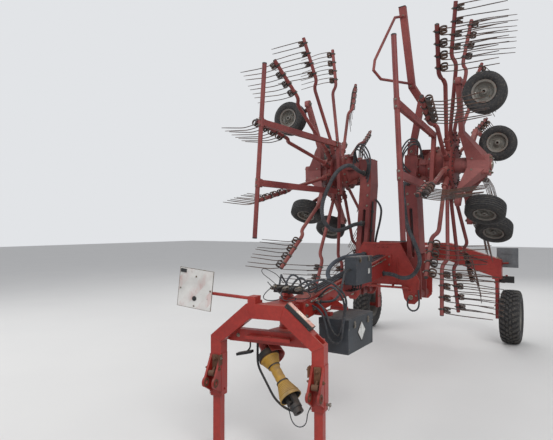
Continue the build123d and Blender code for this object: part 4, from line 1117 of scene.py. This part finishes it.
def rear_frame():
    """Steering pins' nuts, flange bolts, and the rear boards with their lamps."""
    shape = Shape()
    knuckle_x, knuckle_y = 900, 4850
    for side in BOTH:
        shape.bolt(spot(side * 420, 4780, 1290), -REAR, 20, ZINC)
        shape.block(spot(side * 250, 4781, 1275), (12, 8, 250))
        shape.weld(spot(side * 90, 4780, 1372), spot(side * 90, 4780, 1178))
        for k in range(3):
            shape.bolt(spot(side * 60, 3116, 1180 + 65 * k), REAR, 20, ZINC)
            shape.bolt(spot(side * 90, 3300 + 500 * k, 1240), LEFT * side, 18, ZINC)
        shape.turn(spot(side * knuckle_x, knuckle_y, 1181), UP, [(-2, 50), (6, 50), (7, 30)])
    shape.block(spot(0, 3120, 1245), (250, 12, 290))
    pipe = route((100, 3130, 1330), (100, 4700, 1340), (160, 4772, 1345), (780, 4772, 1140))
    shape.tube(rounded(pipe, 50), 6, 10, BLACK)
    shape.block(grid(spot, 97, (3500, 4100, 4600), 1333), (16, 30, 24), part=BLACK)
    # boards on their arms, and the lamps below them
    for x, y, z, size, part in (
            (1022, 4960, 1205, (280, 4, 280), BOARD), (1022, 4956.5, 1205, (284, 4, 284), BACKING),
            (1015, 4949, (1139, 1271), (140, 12, 20), BACKING), (1010, 4950, 890, (200, 28, 95), BLACK),
            (1010, 4970, 890, (186, 16, 82), LAMP), (1010, 4952, 930, (30, 10, 50), FRAME_RED)):
        shape.block(grid(spot, (-x, x), y, z), size, part=part)
    for side in BOTH:
        arm = route((side * 940, 4915, 1120), (side * 940, 4945, 1120), (side * 1040, 4945, 1130))
        shape.tube(rounded(arm, 20), 13)
    piece("rear_axle_fittings", shape, [FRAME_RED, ZINC, BLACK, BOARD, LAMP, BACKING], bevel=1)
    for side, name in ((-1, "right"), (1, "left")):
        knuckle = Shape()
        top = spot(side * knuckle_x, knuckle_y, 1191)
        knuckle.turn(top, UP, [(-6, 34), (14, 34), (18, 28)], 6)
        knuckle.turn(top + UP * 17, UP, [(0, 15), (10, 14)], 16)
        knuckle.bolt(grid(spot, side * 880, (4802, 4898), (850, 520)), -LEFT * side, 22)
        knuckle.block(spot(side * knuckle_x, 4778, 905), (50, 20, 50), part=FRAME_RED)
        knuckle.weld(spot(side * 882, 4786, 880), spot(side * 882, 4786, 400), part=FRAME_RED)
        knuckle.turn(spot(side * 930, knuckle_y, 378), LEFT * side, [(-20, 46), (0, 46), (4, 38)], 28, FRAME_RED)
        piece(f"{name}_knuckle_fittings", knuckle, [ZINC, FRAME_RED], f"{name}_knuckle", bevel=1)


def boom_trim(boom):
    """Bolts, welds, clamps, gear housing's flange and plugs, chassis bolts, kingpin nuts and guard's clamps."""
    shape = Shape()
    hub, up, out, at, spoke = boom.reach, boom.up, boom.out, boom.at, boom.spoke
    for k in range(12):
        for z, way in ((-107.5, up), (-150.5, -up)):
            shape.bolt(spoke(30 * k + 15, 203.5, z), way, 19, ZINC)
    shape.ring(at(hub, 0, 0), up, [(59.8, 118), (59.8, 135), (45, 137), (42, 118.5)], 48)
    for k in range(8):
        shape.bolt(spoke(45 * k + 10, 127.5, 43.5), -up, 12, ZINC)
    for a in (95, 265):
        shape.turn(spoke(a, 117, 20), boom.outward(a), [(0, 24), (8, 24), (9, 17), (20, 17)], 6, ZINC)
    # end plate of the boom, its bolts, and the run of seams along its flanges
    shape.block(at(1576.5, 0, 130), (6, 236, 146), out, REAR)
    shape.bolt(grid(at, 1579, (-90, 90), (85, 175)), out, 20, ZINC)
    for side in BOTH:
        y, way = side * 115, REAR * side
        shape.weld(at(200, y, 90), at(1285, y, 198), 3)
        shape.weld(at(200, y, -46), at(1285, y, 60.5), 3)
        shape.turn(at(250, side * 128, 60), way, [(-1, 30), (5, 30), (6, 20)], 28, ZINC)
        shape.bolt(at(250, side * 133, 60), way, 20, ZINC)
        shape.bolt([at(x, y, z) for x, z in ((50, 35), (120, 35), (1020, 138), (1140, 150), (1260, 162))], way, 16,
                   ZINC)
    # clamped pair of pipes on the boom's upper side
    for x in (500, 720, 950):
        z = 92 + (x - 200) * 0.0995
        for y in (-50, -30):
            shape.rod(at(x - 120, y, z - 3.5), at(x + 120, y, z + 20.5), 6.5, 10, BLACK)
        shape.block(at(x, -40, z + 12), (30, 50, 20), out, REAR, BLACK)
    # ports by the hoses' ends on the gear's neck
    for a, z in ((300, -20), (322, 20)):
        shape.turn(spoke(a, 116, z), boom.outward(a), [(0, 16), (20, 16), (21, 12), (45, 11)], 8, BLACK)
    # stubs that the corrugated hoses are pushed on to
    for x, z in {"left": ((266, 2150),), "right": ((-258, 2290), (-290, 1690))}[boom.side]:
        stub = spot(x, 2699, z)
        shape.turn(stub, -REAR, [(-4, 33), (10, 33), (11, 27.5), (28, 27.5), (29, 25.5), (50, 25.5), (51, 23.5)], 28,
                   BLACK)
        shape.turn(stub - REAR * 34, -REAR, [(0, 27.2), (9, 27.2)], 28, ZINC)
        shape.block(spot(x, 2661, z + 29), (12, 12, 12), part=ZINC)
    # chassis: bolts of the box and the lower cap, and the casters' sleeves
    shape.bolt(grid(at, (hub - 75, hub + 75), (-75, 75), -690), -up, 24, ZINC)
    for side in BOTH:
        shape.bolt(grid(at, (hub - 60, hub + 60), side * 108, -520), REAR * side, 18, ZINC)
    shape.turn(at(hub, 0, -706), -up, [(-1, 46), (6, 44), (12, 30)], 32, ZINC)
    for x, y in ((790, -480), (450, 540), (-410, -240), (-600, 450)):
        length = math.hypot(x, y)
        for share in (0.55, 0.72):
            r = max(400, share * length)
            if r < length - 80:
                shape.bolt(at(hub + x / length * r, y / length * r, -402), up, 16, ZINC)
        shape.turn(at(hub + x, y, -402), up, [(-1, 34), (3, 34), (3.5, 20)], 28, CHASSIS_RED)
    # guard's clamps, caps and bolts
    rise = math.tan(math.radians(5.4))
    bar = step(out + up * rise)
    for x in (-270, 300):
        clamp = at(hub + x, -1760, -270 + x * rise)
        shape.turn(clamp, bar, [(-45, 22.5), (-44, 26.2), (44, 26.2), (45, 22.5)], 24, ROTOR_RED)
        shape.block(clamp + REAR * 45, (80, 50, 12), bar, REAR, ROTOR_RED)
        for k in BOTH:
            shape.bolt(clamp + bar * k * 28 - REAR * 26, -REAR, 13, ZINC)
            shape.bolt(at(hub + x + k * 18, -330, -130), up, 16, ZINC)
        shape.weld(at(hub + x - 30, -280, -130), at(hub + x + 30, -280, -130), 3)
    for x, way in ((-800, -bar), (860, bar)):
        shape.turn(at(hub + x, -1760, -270 + x * rise), way, [(-12, 22.8), (-2, 22.8), (0, 20)], 24, BLACK)
    piece(f"{boom.side}_boom_fittings", shape, [ROTOR_RED, ZINC, BLACK, CHASSIS_RED, ROTOR_RED], boom.body)
    for name in CASTERS:
        fork_trim(boom, f"{boom.side}_{name}")


def fork_trim(boom, name):
    """Nuts and washers of a caster's swivel pin and axle."""
    centre = middle_of(f"{name}_wheel")
    axis = axis_of(f"{name}_wheel_spin")
    axis *= math.copysign(1, (middle_of(f"{name}_fork") - centre).dot(axis))
    pin = pivot(f"{name}_swivel")
    top = pin + boom.up * ((boom.at(0, 0, -400) - pin).dot(boom.up) / MM ** 2)
    end = centre + axis * 106
    fork = Shape()
    fork.turn(top, boom.up, [(-1, 22), (3, 22), (3.5, 18)], 20)
    fork.turn(top, boom.up, [(3, 18.5), (14, 18.5), (16, 15)], 6)
    fork.turn(top, boom.up, [(15, 10), (22, 9)], 12)
    fork.turn(end, axis, [(-1, 26), (2, 26), (2.5, 21)], 24)
    fork.turn(end, axis, [(2, 19), (14, 19), (16, 15)], 6)
    fork.turn(centre + axis * 94, -axis, [(-1, 30), (6, 28), (20, 18)], 24, CHASSIS_RED)
    piece(f"{name}_fork_fittings", fork, [ZINC, CHASSIS_RED], f"{name}_fork")


def lift_cylinder(side):
    """Gland, base cap and ports of a lift cylinder's barrel."""
    foot, way = pivot(f"{side}_barrel_swing"), axis_of(f"{side}_rod_slide")
    shape = Shape()
    shape.turn(foot, way, [(352, 42.1), (353, 46), (376, 46), (380, 43), (384.5, 43), (384.7, 22.6)], 40)
    shape.turn(foot, way, [(50, 42.1), (52, 45), (66, 45), (68, 42.1)], 40)
    out = step(way.cross(REAR))
    out *= math.copysign(1, out.z)
    for at in (85, 335):
        shape.turn(foot + way * at + out * 41, out, [(0, 14), (12, 14), (13, 10.5), (20, 10.5)], 8, ZINC)
    piece(f"{side}_lift_barrel_fittings", shape, [FRAME_RED, ZINC], f"{side}_lift_barrel")


def hoop_trim():
    """Clamps and bolts where the bent tube meets the folded-up beam, and its hinge at the boom's end."""
    boom = BOOMS["left"]
    shape = Shape()
    for x, y, z in ((2330, -209, 128), (3055, -388, 199)):
        shape.turn(boom.at(x, y, z), boom.up, [(-30, 14), (-29, 30), (29, 30), (30, 14)], 20)
        shape.bolt(boom.at(x, y - 32, z), -REAR, 14, ZINC)
    for y, face, way in ((-103, -109, -REAR), (10, 16, REAR)):
        shape.block(boom.at(1660, y, 130), (150, 12, 90), boom.out, REAR)
        shape.bolt(grid(boom.at, (1620, 1700), face, 130), way, 20, ZINC)
    end = boom.at(3150, -410, 208)
    shape.block(end, (6, 56, 78), end - boom.at(2330, -205, 126), REAR, BLACK)
    piece("left_hoop_fittings", shape, [ROTOR_RED, ZINC, BLACK], "left_boom", bevel=1)


headstock()
drive_shaft()
boxes()
beam()
thin_hoses()
centre_frame()
rear_frame()
for boom in BOOMS.values():
    boom_trim(boom)
    boom_hoses(boom)
for side in SIDES:
    lift_cylinder(side)
hoop_trim()
